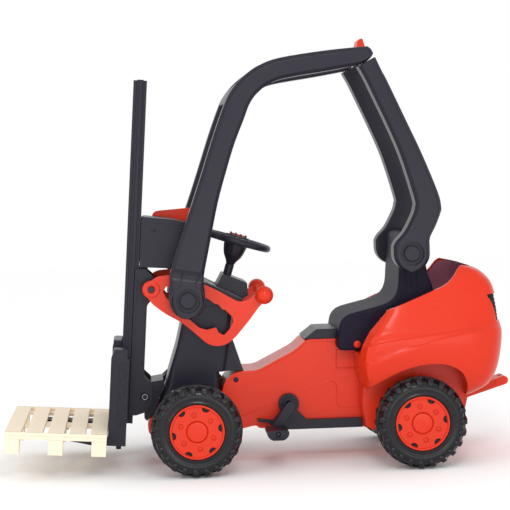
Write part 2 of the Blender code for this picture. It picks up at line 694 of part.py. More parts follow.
def make_guard(build):
    outer = [
        (-0.050, 0.443), (-0.046, 0.466), (-0.035, 0.502), (0.010, 0.625), (0.036, 0.700), (0.060, 0.770),
        (0.086, 0.838), (0.100, 0.864), (0.117, 0.885), (0.138, 0.904), (0.165, 0.921), (0.212, 0.937),
        (0.315, 0.951), (0.404, 0.958), (0.415, 0.957), (0.422, 0.951), (0.4255, 0.942),
    ]
    inner = [
        (0.027, 0.435), (0.029, 0.455), (0.041, 0.510), (0.064, 0.613), (0.087, 0.690), (0.106, 0.747),
        (0.128, 0.800), (0.140, 0.830), (0.151, 0.848), (0.163, 0.861), (0.182, 0.875), (0.220, 0.890),
        (0.320, 0.905), (0.388, 0.916), (0.400, 0.919), (0.411, 0.9248), (0.419, 0.9315),
    ]
    front = foot_stations(BOSS_X, BOSS_Z, BOSS_R, math.radians(80))
    front += list(zip(lifted(outer, BOSS_Z), lifted(inner, BOSS_Z)))
    back_edge = [
        (0.547, 0.500), (0.548, 0.520), (0.562, 0.548), (0.574, 0.578), (0.575, 0.592), (0.568, 0.624),
        (0.534, 0.710), (0.500, 0.785), (0.456, 0.881), (0.446, 0.900), (0.4305, 0.934),
    ]
    front_edge = [
        (0.463, 0.502), (0.470, 0.515), (0.489, 0.536), (0.508, 0.571), (0.5145, 0.592), (0.513, 0.612),
        (0.485, 0.706), (0.456, 0.777), (0.419, 0.858), (0.406, 0.886), (0.391, 0.9135),
    ]
    rear = foot_stations(REAR_BOSS_X, REAR_BOSS_Z, REAR_BOSS_R, math.radians(86))
    # The post ends just under the hoop's rounded end.
    raised = [lifted(edge, REAR_BOSS_Z) for edge in (front_edge, back_edge)]
    raised = [[(x, z + POST_LIFT * max(0, (z - 0.60) / 0.35)) for x, z in edge] for edge in raised]
    rear += list(zip(*raised))
    for name, side in SIDES:
        for end, stations, x, z in (
            ("front_hoop", front, BOSS_X, BOSS_Z),
            ("rear_post", rear, REAR_BOSS_X, REAR_BOSS_Z),
        ):
            floor = sorted((side * (GUARD_HALF - RECESS_DEPTH), side * (GUARD_HALF + 0.01)))
            cut = [rod_y(x, z, RECESS_R, *floor, segments=28)]
            build.add(f"{end}_{name}", stack(bar_rings(stations, side)), "black_plastic", cut=cut)
        for end, x, z in (("front", BOSS_X, BOSS_Z), ("rear", REAR_BOSS_X, REAR_BOSS_Z)):
            low = GUARD_HALF - RECESS_DEPTH + GAP
            profile = [(0, low), (CAP_R, low), (CAP_R, low + 0.004), (CAP_R - 0.003, low + 0.007), (0, low + 0.0072)]
            cap = along_y(turned(profile, 18), x, 0, z, side=side)
            build.add(f"guard_cap_{end}_{name}", cap, "black_plastic")
    reach = GUARD_HALF - GUARD_THICK - GAP
    front_bar = [
        (0.086, 0.842), (0.121, 0.826), (0.150, 0.862), (0.172, 0.878), (0.160, 0.912), (0.132, 0.896), (0.104, 0.871),
    ]
    build.add("roof_front_bar", plate(lifted(front_bar, BOSS_Z), -reach, reach), "black_plastic")
    rear_bar = [(0.384, 0.925), (0.412, 0.930), (0.420, 0.940), (0.416, 0.952), (0.388, 0.950)]
    hump = [(0.402, 0.940), (0.418, 0.940), (0.426, 0.966), (0.421, 0.985), (0.415, 0.985), (0.409, 0.981)]
    raised_middle = plate(lifted(hump, BOSS_Z), -HUMP_HALF, HUMP_HALF)
    bar = plate(lifted(rear_bar, BOSS_Z), -reach, reach)
    build.add("roof_rear_bar", bar, "red_plastic", join=[raised_middle])


# ---- Seat and counterweight ---------------------------------------------------------------
COVER_LEVELS = [
    # height, front, back and half width of the counterweight's outside
    (0.155, 0.409, 0.652, 0.165), (0.172, 0.396, 0.684, 0.180), (0.192, 0.386, 0.700, 0.190),
    (0.222, 0.379, 0.711, 0.199), (0.264, 0.379, 0.718, COVER_HALF), (0.300, 0.395, 0.720, 0.2045),
    (0.322, 0.410, 0.715, 0.198), (0.353, 0.434, 0.712, 0.190), (0.386, 0.450, 0.707, 0.182),
    (0.412, 0.470, 0.698, 0.175), (0.430, 0.490, 0.684, 0.168), (0.444, 0.520, 0.664, 0.160),
    (0.455, 0.560, 0.630, 0.150),
]
BACK_POWER, FRONT_POWER = 0.42, 0.16  # how square the cover's plan is, at the back and at the front
COVER_RIM = [
    (0.30, 0.300), (0.434, 0.353), (0.550, 0.398), (0.580, 0.411), (0.599, 0.427), (0.613, 0.446),
    (0.627, 0.4545), (0.80, 0.4545),
]


def plan_ring(front, back, half, z, count=28):
    """A plan section with a flat front, straight sides and a round back."""
    middle = (front + back) / 2
    reach = (back - front) / 2
    ring = []
    for k in range(count):
        a = 2 * math.pi * (k + 0.5) / count
        power = BACK_POWER if math.cos(a) > 0 else FRONT_POWER
        x = middle + reach * math.copysign(abs(math.cos(a)) ** power, math.cos(a))
        y = half * math.copysign(abs(math.sin(a)) ** power, math.sin(a))
        ring.append((x, y, z))
    return ring


def back_band(half, low, high, outer, inner, count=14):
    """A band that follows the cover's back, between two depths under its surface."""
    rings = []
    for z in (low, high):
        below, above = next((a, b) for a, b in zip(COVER_LEVELS, COVER_LEVELS[1:]) if a[0] <= z <= b[0])
        share = (z - below[0]) / (above[0] - below[0])
        _, front, back, wide = (a + (b - a) * share for a, b in zip(below, above))
        curve = []
        for k in range(count + 1):
            y = half * (2 * k / count - 1)
            bulge = (1 - (abs(y) / wide) ** (2 / BACK_POWER)) ** (BACK_POWER / 2)
            curve.append(((front + back) / 2 + (back - front) / 2 * bulge, y))
        rings.append([(x - outer, y, z) for x, y in curve] + [(x - inner, y, z) for x, y in reversed(curve)])
    return stack(rings)


def make_cover(build):
    rings = [plan_ring(front, back, half, z) for z, front, back, half in COVER_LEVELS]
    skirt_outline = [
        (0.391, 0.180), (0.387, 0.139), (0.395, 0.086), (0.410, 0.077), (0.602, 0.077), (0.622, 0.100),
        (0.640, 0.175), (0.640, 0.200),
    ]
    skirt = plate(skirt_outline, -SKIRT_HALF, SKIRT_HALF)
    arches = []
    for side in (-1, 1):
        low, high = sorted((side * (SKIRT_HALF - GAP), side * 0.30))
        arches.append(rod_y(ARCH_X, AXLE_Z, ARCH_R, low, high, segments=32))
    above = [*COVER_RIM, (0.80, 0.60), (0.30, 0.60)]
    pocket_levels = [
        # height, and the back and half width of the cover's outside there
        (COVER_FLOOR, 0.706, 0.186), (0.322, 0.705, 0.188), (0.386, 0.697, 0.172), (0.44, 0.668, 0.155), (0.50, 0.64, 0.14),
    ]
    pocket = [
        plan_ring(POCKET_FRONT, back - COVER_WALL, half - COVER_WALL, z) for z, back, half in pocket_levels
    ]
    body_slot = box((0.30, BODY_TAIL_X + 0.003), (-BODY_HALF - GAP, BODY_HALF + GAP), (0.05, 0.30))
    beside = SEAT_HALF + 2 * RUN
    seat_slot = box((0.30, POCKET_FRONT), (-beside, beside), (0.2575, 0.60))
    seat_front = box((POCKET_FRONT - 0.010, POCKET_FRONT + 0.006), (-beside, beside), (COVER_FLOOR, 0.60))
    mouth = boxes_joined(
        ((0.30, POCKET_FRONT - COVER_WALL), (-MOUTH_HALF, MOUTH_HALF), (0.2575, 0.60)),
        ((0.30, POCKET_FRONT + 0.006), (-MOUTH_HALF, MOUTH_HALF), (0.335, 0.60)),
    )
    hollow = box((0.405, 0.600), (-SKIRT_HALF + 0.006, SKIRT_HALF - 0.006), (0.05, 0.255))
    bore = rod_y(WHEELBASE, AXLE_Z, AXLE_R + RUN, -0.2, 0.2)
    hitch_slot = box((0.636, 0.76), (-HITCH_HALF - GAP, HITCH_HALF + GAP), (0.05, 0.186))
    vent_slot = back_band(VENT_HALF + GAP, VENT_LOW - GAP, VENT_HIGH + GAP, -0.020, VENT_SINK + VENT_THICK + GAP)
    cuts = [
        *arches, plate(above, -0.3, 0.3), stack(pocket), body_slot, seat_slot, seat_front, mouth, hollow, bore,
        hitch_slot, vent_slot,
    ]
    build.add("rear_cover", stack(rings), "red_plastic", join=[skirt], cut=cuts)
    vent = back_band(VENT_HALF, VENT_LOW, VENT_HIGH, VENT_SINK, VENT_SINK + VENT_THICK)
    build.add("rear_vent", vent, "black_plastic")
    tip = (0.744, 0.166)
    thick = 0.010
    slope = math.radians(16.8)
    back = arc(*tip, thick, math.degrees(slope) - 90, math.degrees(slope) + 90, 8)
    start = 0.6405
    low = tip[1] - (tip[0] - start) * math.tan(slope)
    hitch = [(start, low - 0.011), *back, (start, low + 0.011)]
    eye = rod_z(tip[0] - 0.006, 0, 0.006, 0.05, 0.30)
    build.add("tow_hitch", plate(hitch, -HITCH_HALF, HITCH_HALF), "red_plastic", cut=[eye])


def make_seat(build):
    rail = [
        (0.262, BODY_TOP + GAP), (0.345, BODY_TOP + GAP), (0.440, 0.2654 + GAP), (0.440, SEAT_RAIL_TOP),
        (0.292, SEAT_RAIL_TOP),
    ]
    build.add("seat_rail", plate(rail, -SEAT_RAIL_HALF, SEAT_RAIL_HALF), "black_plastic")
    outline = [
        (0.334, 0.272), (0.340, 0.263), (0.347, 0.260), (0.430, 0.260), (0.442, 0.2665), (0.442, 0.2875),
        (0.560, 0.2875),
        (0.572, 0.300), (0.565, 0.390), (0.548, 0.445), (0.541, 0.515), (0.530, 0.530), (0.500, 0.530),
        (0.488, 0.518), (0.483, 0.445), (0.480, 0.403), (0.472, 0.382), (0.456, 0.369), (0.430, 0.361),
        (0.369, 0.347), (0.354, 0.340), (0.344, 0.328), (0.340, 0.315),
    ]
    tunnel = box((0.30, 0.4470), (-BODY_HALF - 0.002, BODY_HALF + 0.002), (0.20, SEAT_RAIL_TOP + GAP))
    pin_x, pin_z, pin_r, pin_length = 0.381, 0.275, 0.0055, 0.040
    hole = rod_y(pin_x, pin_z, pin_r + GAP, -0.2, 0.2, segments=16)
    build.add("seat", plate(outline, -SEAT_HALF, SEAT_HALF), "black_plastic", cut=[tunnel, hole])
    profile = [
        (0, 0), (pin_r, 0), (pin_r, pin_length), (pin_r + 0.003, pin_length + 0.0005), (pin_r + 0.003, pin_length + 0.003),
        (pin_r + 0.0005, pin_length + 0.0055), (0, pin_length + 0.006),
    ]
    pin = along_y(turned(profile, 18), pin_x, pin_length - SEAT_HALF, pin_z, side=-1)
    build.add("seat_pin", pin, "red_plastic")


# ---- Mast --------------------------------------------------------------------------------
def make_mast(build):
    groove = (RAIL_FRONT + 0.007, RAIL_FRONT + 0.020)  # where the carriage runs, in x
    deep = 0.009
    tall = (MAST_FOOT, MAST_TOP)
    for name, side in SIDES:
        def y(a, b, side=side):
            return tuple(sorted((side * a, side * b)))

        column = boxes_joined(
            ((RAIL_FRONT, RAIL_BACK), y(RAIL_INNER + deep, RAIL_OUTER - 0.002), tall),
            ((RAIL_FRONT, groove[0]), y(RAIL_INNER, RAIL_OUTER), tall),
            ((groove[1], RAIL_BACK), y(RAIL_INNER, RAIL_INNER + deep), tall),
            ((groove[1] - 0.007, groove[1] + 0.001), y(RAIL_INNER + deep, RAIL_OUTER), tall),
            ((RAIL_BACK - 0.006, RAIL_BACK), y(RAIL_INNER + deep, RAIL_OUTER), (tall[0], tall[1] - 0.004)),
        )
        build.add(f"inner_rail_{name}", column, "black_plastic", parent="mast")
        outline = [
            (-0.035, OUTER_TOP), (-0.035, -0.0435), (-0.020, -0.045), (0.001, -0.037), (0.018, -0.016),
            (0.017, 0.013), (0.0145, 0.034), (-0.003, 0.048), (-0.004, 0.060), (-0.004, LEVER_Z - 0.040),
            (LEVER_X + 0.013, LEVER_Z - 0.014), (LEVER_X + 0.013, LEVER_Z + 0.012),
            (0.0075, OUTER_TOP - 0.017), (-0.014, OUTER_TOP),
        ]
        holes = [circle(0, 0, HINGE_PIN_R + RUN), circle(LEVER_X, LEVER_Z, LEVER_SHAFT_R + GAP)]
        cheek = plate(outline, *y(RAIL_OUTER + GAP, RAIL_OUTER + CHEEK), holes)
        web = box((RAIL_BACK + GAP, -0.005), y(RAIL_INNER, RAIL_OUTER + 0.001), (0.060, OUTER_TOP - 0.002))
        build.add(f"outer_rail_{name}", cheek, "black_plastic", parent="mast", join=[web])
    across = (-RAIL_INNER + GAP, RAIL_INNER - GAP)
    head = boxes_joined(
        ((RAIL_FRONT + 0.002, RAIL_BACK - 0.002), across, (MAST_TOP - 0.030, MAST_TOP - 0.016)),
        ((RAIL_BACK - 0.012, RAIL_BACK - 0.002), across, (MAST_TOP - 0.080, MAST_TOP - 0.030)),
    )
    build.add("mast_head", head, "black_plastic", parent="mast")
    reach = RAIL_OUTER + CHEEK + 0.002
    hinge_pin = rod_y(0, 0, HINGE_PIN_R, -reach, reach)
    build.add("hinge_pin", hinge_pin, "steel", parent="mast")
    reach = LEVER_INNER + LEVER_THICK + 0.003
    shaft = rod_y(LEVER_X, LEVER_Z, LEVER_SHAFT_R, -reach, reach)
    build.add("lever_shaft", shaft, "steel", parent="mast")


def make_bracket(build):
    eye = 0.0185
    # Behind the eye the bracket rests on the nose of the body and against the tower.
    outline = [
        (-0.0820, 0.1508), (-0.0895, 0.1292), (-0.1105, 0.1055), (-0.1165, 0.1120),
        *arc(HINGE_X, HINGE_Z, eye, -95, -270, 10),
        (-0.098, 0.197), (-0.0700, 0.201), (-0.0680, 0.190), (-0.0800, 0.1580), (-0.0815, 0.1508),
    ]
    half = RAIL_OUTER + GAP - 0.003
    hole = circle(HINGE_X, HINGE_Z, HINGE_PIN_R + RUN)
    build.add("mast_bracket", plate(outline, -half, half, [hole]), "black_plastic")


def make_winch(build):
    front = RAIL_BACK + GAP
    half = RAIL_OUTER + CHEEK
    wall = 0.004
    outline = [
        (front, WINCH_LOW), (0.060, WINCH_LOW), (WINCH_BACK, WINCH_LOW + 0.020), (WINCH_BACK, WINCH_HIGH - 0.010),
        (0.045, WINCH_HIGH - 0.003), (front, WINCH_HIGH),
    ]
    thick = 2 * wall
    inside = ((front - 0.01, WINCH_BACK - wall), (-half + thick, half - wall), (WINCH_LOW + wall, WINCH_HIGH - 0.014))
    hollow = box(*inside)
    bearing = rod_y(WINCH_X, WINCH_Z, AXLE_R + RUN, -half + wall, 0.1)
    build.add("winch_box", plate(outline, -half, half), "black_plastic", parent="mast", cut=[hollow, bearing])
    outside = half + 2 * RUN
    seated = -half + wall + RUN
    flange = DRUM_R + 0.008
    profile = [
        (0, seated), (AXLE_R, seated), (AXLE_R, -0.030), (flange, -0.030), (flange, -0.026), (DRUM_R, -0.026),
        (DRUM_R, 0.026), (flange, 0.026), (flange, 0.030), (AXLE_R, 0.030), (AXLE_R, outside + 0.008),
        (0, outside + 0.008),
    ]
    centre = (WINCH_X, 0, WINCH_Z)
    drum = along_y(turned(profile, 24), WINCH_X, 0, WINCH_Z)
    build.add("winch_drum", drum, "steel", parent="mast", origin=centre)
    low, high = outside, outside + 0.010
    rise = math.radians(30)
    end = (WINCH_X + HANDLE_REACH * math.cos(rise), WINCH_Z + HANDLE_REACH * math.sin(rise))
    arm = [
        (0.002, WINCH_Z - 0.022), (WINCH_X + 0.020, WINCH_Z - 0.024), (end[0] + 0.006, end[1] - 0.014),
        (end[0] + 0.013, end[1]),
        (end[0] + 0.004, end[1] + 0.029), (0.008, WINCH_Z + 0.058), (0.0, WINCH_Z + 0.050), (-0.002, WINCH_Z),
    ]
    hole = circle(WINCH_X, WINCH_Z, AXLE_R + GAP)
    grip = rod_y(end[0] - 0.004, end[1] + 0.004, 0.010, high - 0.002, LEVER_INNER - 0.002)
    build.add("winch_handle", plate(arm, low, high, [hole]), "red_plastic", parent="mast", join=[grip], origin=centre)


def make_levers(build):
    # The outline is drawn about the toy at rest, then turned into the upright mast's frame.
    ring_x, ring_z = -0.0917, 0.4172
    ring_r = 0.0205
    outline = [
        *arc(ring_x, ring_z, ring_r, 90, 245, 7), (-0.0897, 0.383), (-0.0605, 0.360), (-0.025, 0.3395),
        (-0.003, 0.3215), (0.017, 0.303), (0.033, 0.288), (0.053, 0.281), (0.076, 0.284), (0.093, 0.296),
        (0.106, 0.309), (0.135, 0.343), (0.156, 0.371), *arc(0.168, 0.396, 0.013, -70, 110, 5), (0.1455, 0.396),
        (0.129, 0.386), (0.110, 0.382), (0.094, 0.390), (0.068, 0.406), (0.029, 0.426), (-0.042, 0.4495),
        (-0.0745, 0.4475),
    ]
    opening = [
        (-0.0655, 0.411), (-0.0575, 0.397), (-0.035, 0.373), (-0.002, 0.3415), (0.016, 0.3255), (0.033, 0.320),
        (0.0505, 0.324), (0.0585, 0.313), (0.072, 0.306), (0.085, 0.319), (0.095, 0.3375), (0.091, 0.3505),
        (0.070, 0.374), (0.0595, 0.384), (0.0375, 0.392), (-0.043, 0.4215), (-0.0575, 0.4235),
    ]
    pivot = Matrix.Translation((HINGE_X, 0, HINGE_Z)) @ Matrix.Rotation(MAST_LEAN, 4, "Y")
    upright = pivot.inverted()
    centre = (LEVER_X, 0, LEVER_Z)
    for name, side in SIDES:
        low, high = sorted((side * LEVER_INNER, side * (LEVER_INNER + LEVER_THICK)))
        bore = circle(ring_x, ring_z, LEVER_SHAFT_R + RUN)
        lever = moved(plate(outline, low, high, [opening, bore]), upright)
        ball = [(0, -KNOB_R)]
        ball += [(KNOB_R * math.cos(math.radians(a)), KNOB_R * math.sin(math.radians(a))) for a in range(-60, 61, 20)]
        ball.append((0, KNOB_R))
        knob_y = side * (LEVER_INNER + 0.018)
        knob = moved(along_y(turned(ball, 14), 0.167, knob_y, 0.397), upright)
        build.add(f"lever_{name}", lever, "red_plastic", parent="mast", join=[knob], origin=centre)


# ---- Carriage, forks and pallet -----------------------------------------------------------
def make_carriage(build):
    inner = FORK_Y - FORK_WIDTH / 2
    plate_x = (FORK_FRONT + 0.003, RAIL_FRONT - SWING / 2)
    groove = (RAIL_FRONT + 0.007 + RUN, RAIL_FRONT + 0.020 - 0.007 - RUN)
    wing = RAIL_INNER + 0.009 - RUN
    tongue = RAIL_INNER - RUN
    carriage = boxes_joined(
        (plate_x, (-inner + GAP, inner - GAP), (-0.050, 0.060)),
        (plate_x, (-0.045, 0.045), (0.060, FORK_TOP + 0.010)),
        ((plate_x[1] - 0.001, groove[1]), (-tongue, tongue), (-0.045, 0.085)),
        (groove, (-wing, wing), (-0.045, 0.085)),
    )
    build.add("carriage", carriage, "black_plastic", parent="mast")
    blade = [
        (FORK_BACK, FORK_HEEL), (FORK_BACK, FORK_LEDGE), (FORK_BACK - 0.004, FORK_LEDGE + 0.002),
        (FORK_BACK - 0.004, FORK_TOP), (FORK_FRONT + 0.007, FORK_TOP), (FORK_FRONT, FORK_LEDGE),
        (FORK_FRONT, BLADE_TOP),
        (FORK_TIP + 0.004, BLADE_TOP), (FORK_TIP, BLADE_TOP - 0.002), (FORK_TIP + 0.004, BLADE_TOP - 0.005),
        (FORK_FRONT - 0.100, -0.0925), (FORK_FRONT - 0.037, FORK_HEEL),
    ]
    for name, side in SIDES:
        low, high = FORK_Y * side - FORK_WIDTH / 2, FORK_Y * side + FORK_WIDTH / 2
        foot = rod_z(-0.056, FORK_Y * side, 0.006, FORK_HEEL - 0.010, FORK_HEEL + 0.002)
        build.add(f"fork_{name}", plate(blade, low, high), "black_plastic", parent="mast", join=[foot])
    front = PALLET_BACK - PALLET_LENGTH
    under = PALLET_BASE + BLOCK_HEIGHT
    wide = (-PALLET_HALF, PALLET_HALF)
    slat = 0.0365
    step = (PALLET_LENGTH - slat) / 4
    slats = [
        ((front + k * step, front + k * step + slat), wide, (under + BOARD, under + 2 * BOARD)) for k in range(5)
    ]
    lines = (-PALLET_HALF, -BLOCK_WIDTH / 2, PALLET_HALF - BLOCK_WIDTH)
    boards = [((front, PALLET_BACK), (y, y + BLOCK_WIDTH), (under, under + BOARD)) for y in lines]
    step = (PALLET_LENGTH - BLOCK_WIDTH) / 2
    blocks = [
        ((front + k * step, front + k * step + BLOCK_WIDTH), (y, y + BLOCK_WIDTH), (PALLET_BASE, under))
        for k in range(3)
        for y in lines
    ]
    build.add("pallet", boxes_joined(*slats, *boards, *blocks), "pallet_cream", parent="mast")


def main():
    clear_scene()
    build = Builder(make_materials())
    build.pivot("vehicle", (FRONT_AXLE_X, 0, WHEEL_R - AXLE_Z))
    build.pivot("mast", (HINGE_X, 0, HINGE_Z), tilt=MAST_LEAN, parent="vehicle")
    make_body(build)
    make_side_rails(build)
    make_drive(build)
    make_wheels(build)
    make_steering(build)
    make_tower(build)
    make_console(build)
    make_guard(build)
    make_cover(build)
    make_seat(build)
    make_bracket(build)
    make_mast(build)
    make_winch(build)
    make_levers(build)
    make_carriage(build)


main()
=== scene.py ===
import math

import bmesh
import bpy
from mathutils import Matrix, Vector
from mathutils.geometry import tessellate_polygon


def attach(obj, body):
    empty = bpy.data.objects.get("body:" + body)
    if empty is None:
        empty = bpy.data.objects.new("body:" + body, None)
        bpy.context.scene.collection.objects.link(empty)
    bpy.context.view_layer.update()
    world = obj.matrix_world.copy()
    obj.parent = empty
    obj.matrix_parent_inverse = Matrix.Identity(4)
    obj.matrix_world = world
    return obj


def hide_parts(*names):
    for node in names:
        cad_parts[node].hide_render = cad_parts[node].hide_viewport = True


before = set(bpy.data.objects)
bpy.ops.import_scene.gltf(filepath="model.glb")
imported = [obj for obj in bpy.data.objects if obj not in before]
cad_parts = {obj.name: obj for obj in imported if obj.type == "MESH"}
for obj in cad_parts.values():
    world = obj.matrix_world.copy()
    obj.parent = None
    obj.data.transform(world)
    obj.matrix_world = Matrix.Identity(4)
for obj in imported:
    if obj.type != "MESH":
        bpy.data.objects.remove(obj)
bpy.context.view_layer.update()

# ---- Sheet, lamps and camera ----------------------------------------------------------------
# The toy stands on a wide seamless white sheet. One soft lamp is held high in front, one stands
# beside the mast and one lies low; the white room around does the rest.
TOY = Matrix.Translation((-0.16, 0, 0))  # outlines are drawn back from the front axle

bpy.ops.mesh.primitive_plane_add(size=14, location=(0, 0, -0.0006))
sheet = bpy.context.object
sheet.name = "sheet"
paper = bpy.data.materials.new("paper")
paper.use_nodes = True
paper.node_tree.nodes["Principled BSDF"].inputs["Base Color"].default_value = (0.99, 0.99, 0.99, 1)
paper.node_tree.nodes["Principled BSDF"].inputs["Roughness"].default_value = 0.9
sheet.data.materials.append(paper)

room = bpy.data.worlds.new("room")
bpy.context.scene.world = room
room.use_nodes = True
room.node_tree.nodes["Background"].inputs["Color"].default_value = (1.0, 1.0, 1.0, 1)
room.node_tree.nodes["Background"].inputs["Strength"].default_value = 1.0
bpy.context.scene.view_settings.view_transform = "Standard"


def lamp(name, place, aim, size, watts):
    light = bpy.data.lights.new(name, "AREA")
    light.shape = "RECTANGLE"
    light.size, light.size_y = size
    light.energy = watts
    holder = bpy.data.objects.new(name, light)
    holder.location = place
    holder.rotation_euler = (Vector(aim) - Vector(place)).to_track_quat("-Z", "Y").to_euler()
    bpy.context.scene.collection.objects.link(holder)


lamp("over_lamp", (0.05, -2.2, 1.75), (0.1, 0.0, 0.4), (0.5, 0.4), 13)
lamp("side_lamp", (-1.7, -1.9, 1.0), (-0.1, 0.0, 0.4), (0.9, 1.2), 7)
lamp("low_lamp", (0.5, -3.4, 0.35), (0.0, 0.0, 0.2), (2.2, 0.6), 13)

LENS_MM = 112.941  # on a sensor 36 mm wide
EYE = (-0.2797, -3.7733, 0.7152)
yaw, pitch, roll = math.radians(4.189), math.radians(3.512), math.radians(1.536)
ahead = Vector((math.sin(yaw) * math.cos(pitch), math.cos(yaw) * math.cos(pitch), -math.sin(pitch)))
level = Vector((math.cos(yaw), -math.sin(yaw), 0))
over = level.cross(ahead)
right = math.cos(roll) * level - math.sin(roll) * over
over = math.sin(roll) * level + math.cos(roll) * over
eye = bpy.data.cameras.new("eye")
eye.sensor_width = 36
eye.lens = LENS_MM
camera = bpy.data.objects.new("eye", eye)
camera.matrix_world = Matrix.Translation(EYE) @ Matrix((right, over, -ahead)).transposed().to_4x4()
bpy.context.scene.collection.objects.link(camera)
bpy.context.scene.camera = camera


# ---- Body shells ----------------------------------------------------------------------------
# Two mirrored halves of blow-moulded orange-red plastic, screwed together on the centre line.
# A thin moulded lip follows the upper edge, and a low stepped panel lies over the chain.
class Reading:
    """A number in a finish; sums on it add Math nodes to its tree."""

    def __init__(self, finish, socket):
        self.finish, self.socket = finish, socket

    def sum(self, operation, first, second):
        return self.finish.node("ShaderNodeMath", {"operation": operation}, {0: first, 1: second})

    def __add__(self, other):
        return self.sum("ADD", self, other)

    def __mul__(self, other):
        return self.sum("MULTIPLY", self, other)


class Finish:
    """A material under way: its node tree, its shader and the piece's own coordinates."""

    def __init__(self, name, **even):
        self.material = bpy.data.materials.new(name)
        self.material.use_nodes = True
        self.tree = self.material.node_tree
        self.shader = self.tree.nodes["Principled BSDF"]
        for socket, value in even.items():
            self.shader.inputs[socket.replace("_", " ")].default_value = value
        self.place = self.node("ShaderNodeTexCoord", output="Object")

    def node(self, kind, settings=None, sockets=None, output=0):
        made = self.tree.nodes.new(kind)
        for key, value in (settings or {}).items():
            setattr(made, key, value)
        for key, value in (sockets or {}).items():
            if isinstance(value, Reading):
                self.tree.links.new(value.socket, made.inputs[key])
            else:
                made.inputs[key].default_value = value
        return Reading(self, made.outputs[output])

    def noise(self, scale, detail=2.0, place=None):
        return self.node("ShaderNodeTexNoise", None,
                         {"Vector": place or self.place, "Scale": scale, "Detail": detail})

    def stretched(self, scale):
        return self.node("ShaderNodeMapping", None, {"Vector": self.place, "Scale": scale})

    def mix(self, share, first, second):
        return self.node("ShaderNodeMix", {"data_type": "RGBA"}, {0: share, 6: first, 7: second},
                         output=2)

    def feed(self, **readings):
        for socket, reading in readings.items():
            self.tree.links.new(reading.socket, self.shader.inputs[socket.replace("_", " ")])
        return self.material

    def bump(self, height, strength, distance):
        return self.node(
            "ShaderNodeBump", None, {"Strength": strength, "Distance": distance, "Height": height}
        )


def moulded(name, colour, worn, rough, grain=0.1, gloss=0.4, grain_scale=1400.0):
    """Moulded plastic: faint clouds in its colour, a fine grain and hairline scuffs."""
    finish = Finish(name, Specular_IOR_Level=gloss)
    clouds = finish.noise(7.0, 3.0)
    scuffs = finish.noise(60.0, 5.0, finish.stretched((1.0, 1.0, 7.0)))
    scratch = finish.node("ShaderNodeMapRange", None,
                          {"Value": scuffs, "From Min": 0.62, "From Max": 0.8})
    fine = finish.noise(grain_scale, 2.0)
    tone = finish.mix(clouds * 0.55, (*colour, 1), (*worn, 1))
    tone = finish.mix(scratch * 0.18, tone, (*[min(1.0, c * 1.5 + 0.03) for c in worn], 1))
    shine = clouds * 0.1 + fine * 0.06 + scratch * 0.12 + (rough - 0.1)
    normal = finish.bump(fine + finish.noise(160.0, 2.0) * 0.6, grain, 0.0004)
    return finish.feed(Base_Color=tone, Roughness=shine, Normal=normal)


RED = moulded("moulded_red", (0.66, 0.031, 0.008), (0.6, 0.026, 0.007), 0.3, grain=0.06, gloss=0.24)
BLACK = moulded("moulded_black", (0.014, 0.013, 0.022), (0.021, 0.019, 0.03), 0.36, grain=0.12,
                gloss=0.22)


def plate(outline, low, high, holes=()):
    """The outline, with its holes, pushed along Y from low to high, with whole flat faces."""
    loops = [[Vector((x, 0, z)) for x, z in loop] for loop in (outline, *holes)]
    points = [point for loop in loops for point in loop]
    bm = bmesh.new()
    near = [bm.verts.new((p.x, low, p.z)) for p in points]
    far = [bm.verts.new((p.x, high, p.z)) for p in points]
    for a, b, c in tessellate_polygon(loops):
        bm.faces.new((near[a], near[b], near[c]))
        bm.faces.new((far[c], far[b], far[a]))
    start = 0
    for loop in loops:
        count = len(loop)
        for i in range(count):
            a, b = start + i, start + (i + 1) % count
            bm.faces.new((near[a], near[b], far[b], far[a]))
        start += count
    bmesh.ops.recalc_face_normals(bm, faces=bm.faces[:])
    return bm


def arc(x, z, radius, start, end, count):
    angles = [math.radians(start + (end - start) * k / count) for k in range(count + 1)]
    return [(x + radius * math.cos(a), z + radius * math.sin(a)) for a in angles]


def circle(x, z, radius, count=48):
    return arc(x, z, radius, 0, 360, count)[:-1]


def softened(outline, radius, count=5, closed=True):
    """The outline with every corner replaced by a short curve that starts up to radius before it."""
    soft = []
    total = len(outline)
    for i, corner in enumerate(outline):
        here = Vector(corner)
        if not closed and i in (0, total - 1):
            soft.append(tuple(here))
            continue
        before, after = Vector(outline[i - 1]), Vector(outline[(i + 1) % total])
        one = here + (before - here).normalized() * min(radius, 0.45 * (before - here).length)
        two = here + (after - here).normalized() * min(radius, 0.45 * (after - here).length)
        if (here - before).normalized().dot((after - here).normalized()) > 0.9995:
            soft.append(tuple(here))
            continue
        for k in range(count + 1):
            t = k / count
            soft.append(tuple(one * (1 - t) ** 2 + here * 2 * t * (1 - t) + two * t * t))
    return soft


def as_mesh(bm, name="shape"):
    mesh = bpy.data.meshes.new(name)
    bm.to_mesh(mesh)
    bm.free()
    return mesh


def as_object(bm, name="shape"):
    thing = bpy.data.objects.new(name, as_mesh(bm, name))
    bpy.context.scene.collection.objects.link(thing)
    return thing


def settled(thing):
    """The object's mesh with its modifiers carried out; the object itself is dropped."""
    mesh = bpy.data.meshes.new_from_object(thing.evaluated_get(bpy.context.evaluated_depsgraph_get()))
    bpy.data.objects.remove(thing, do_unlink=True)
    return mesh


def carved(bm, cut=(), join=()):
    """The shape with others joined to it and cut from it."""
    body = as_object(bm)
    helpers = []
    for operation, shapes in (("UNION", join), ("DIFFERENCE", cut)):
        for shape in shapes:
            helper = as_object(shape)
            helpers.append(helper)
            boolean = body.modifiers.new(operation, "BOOLEAN")
            boolean.operation, boolean.object, boolean.solver = operation, helper, "EXACT"
    mesh = settled(body)
    for helper in helpers:
        bpy.data.objects.remove(helper, do_unlink=True)
    done = bmesh.new()
    done.from_mesh(mesh)
    return done


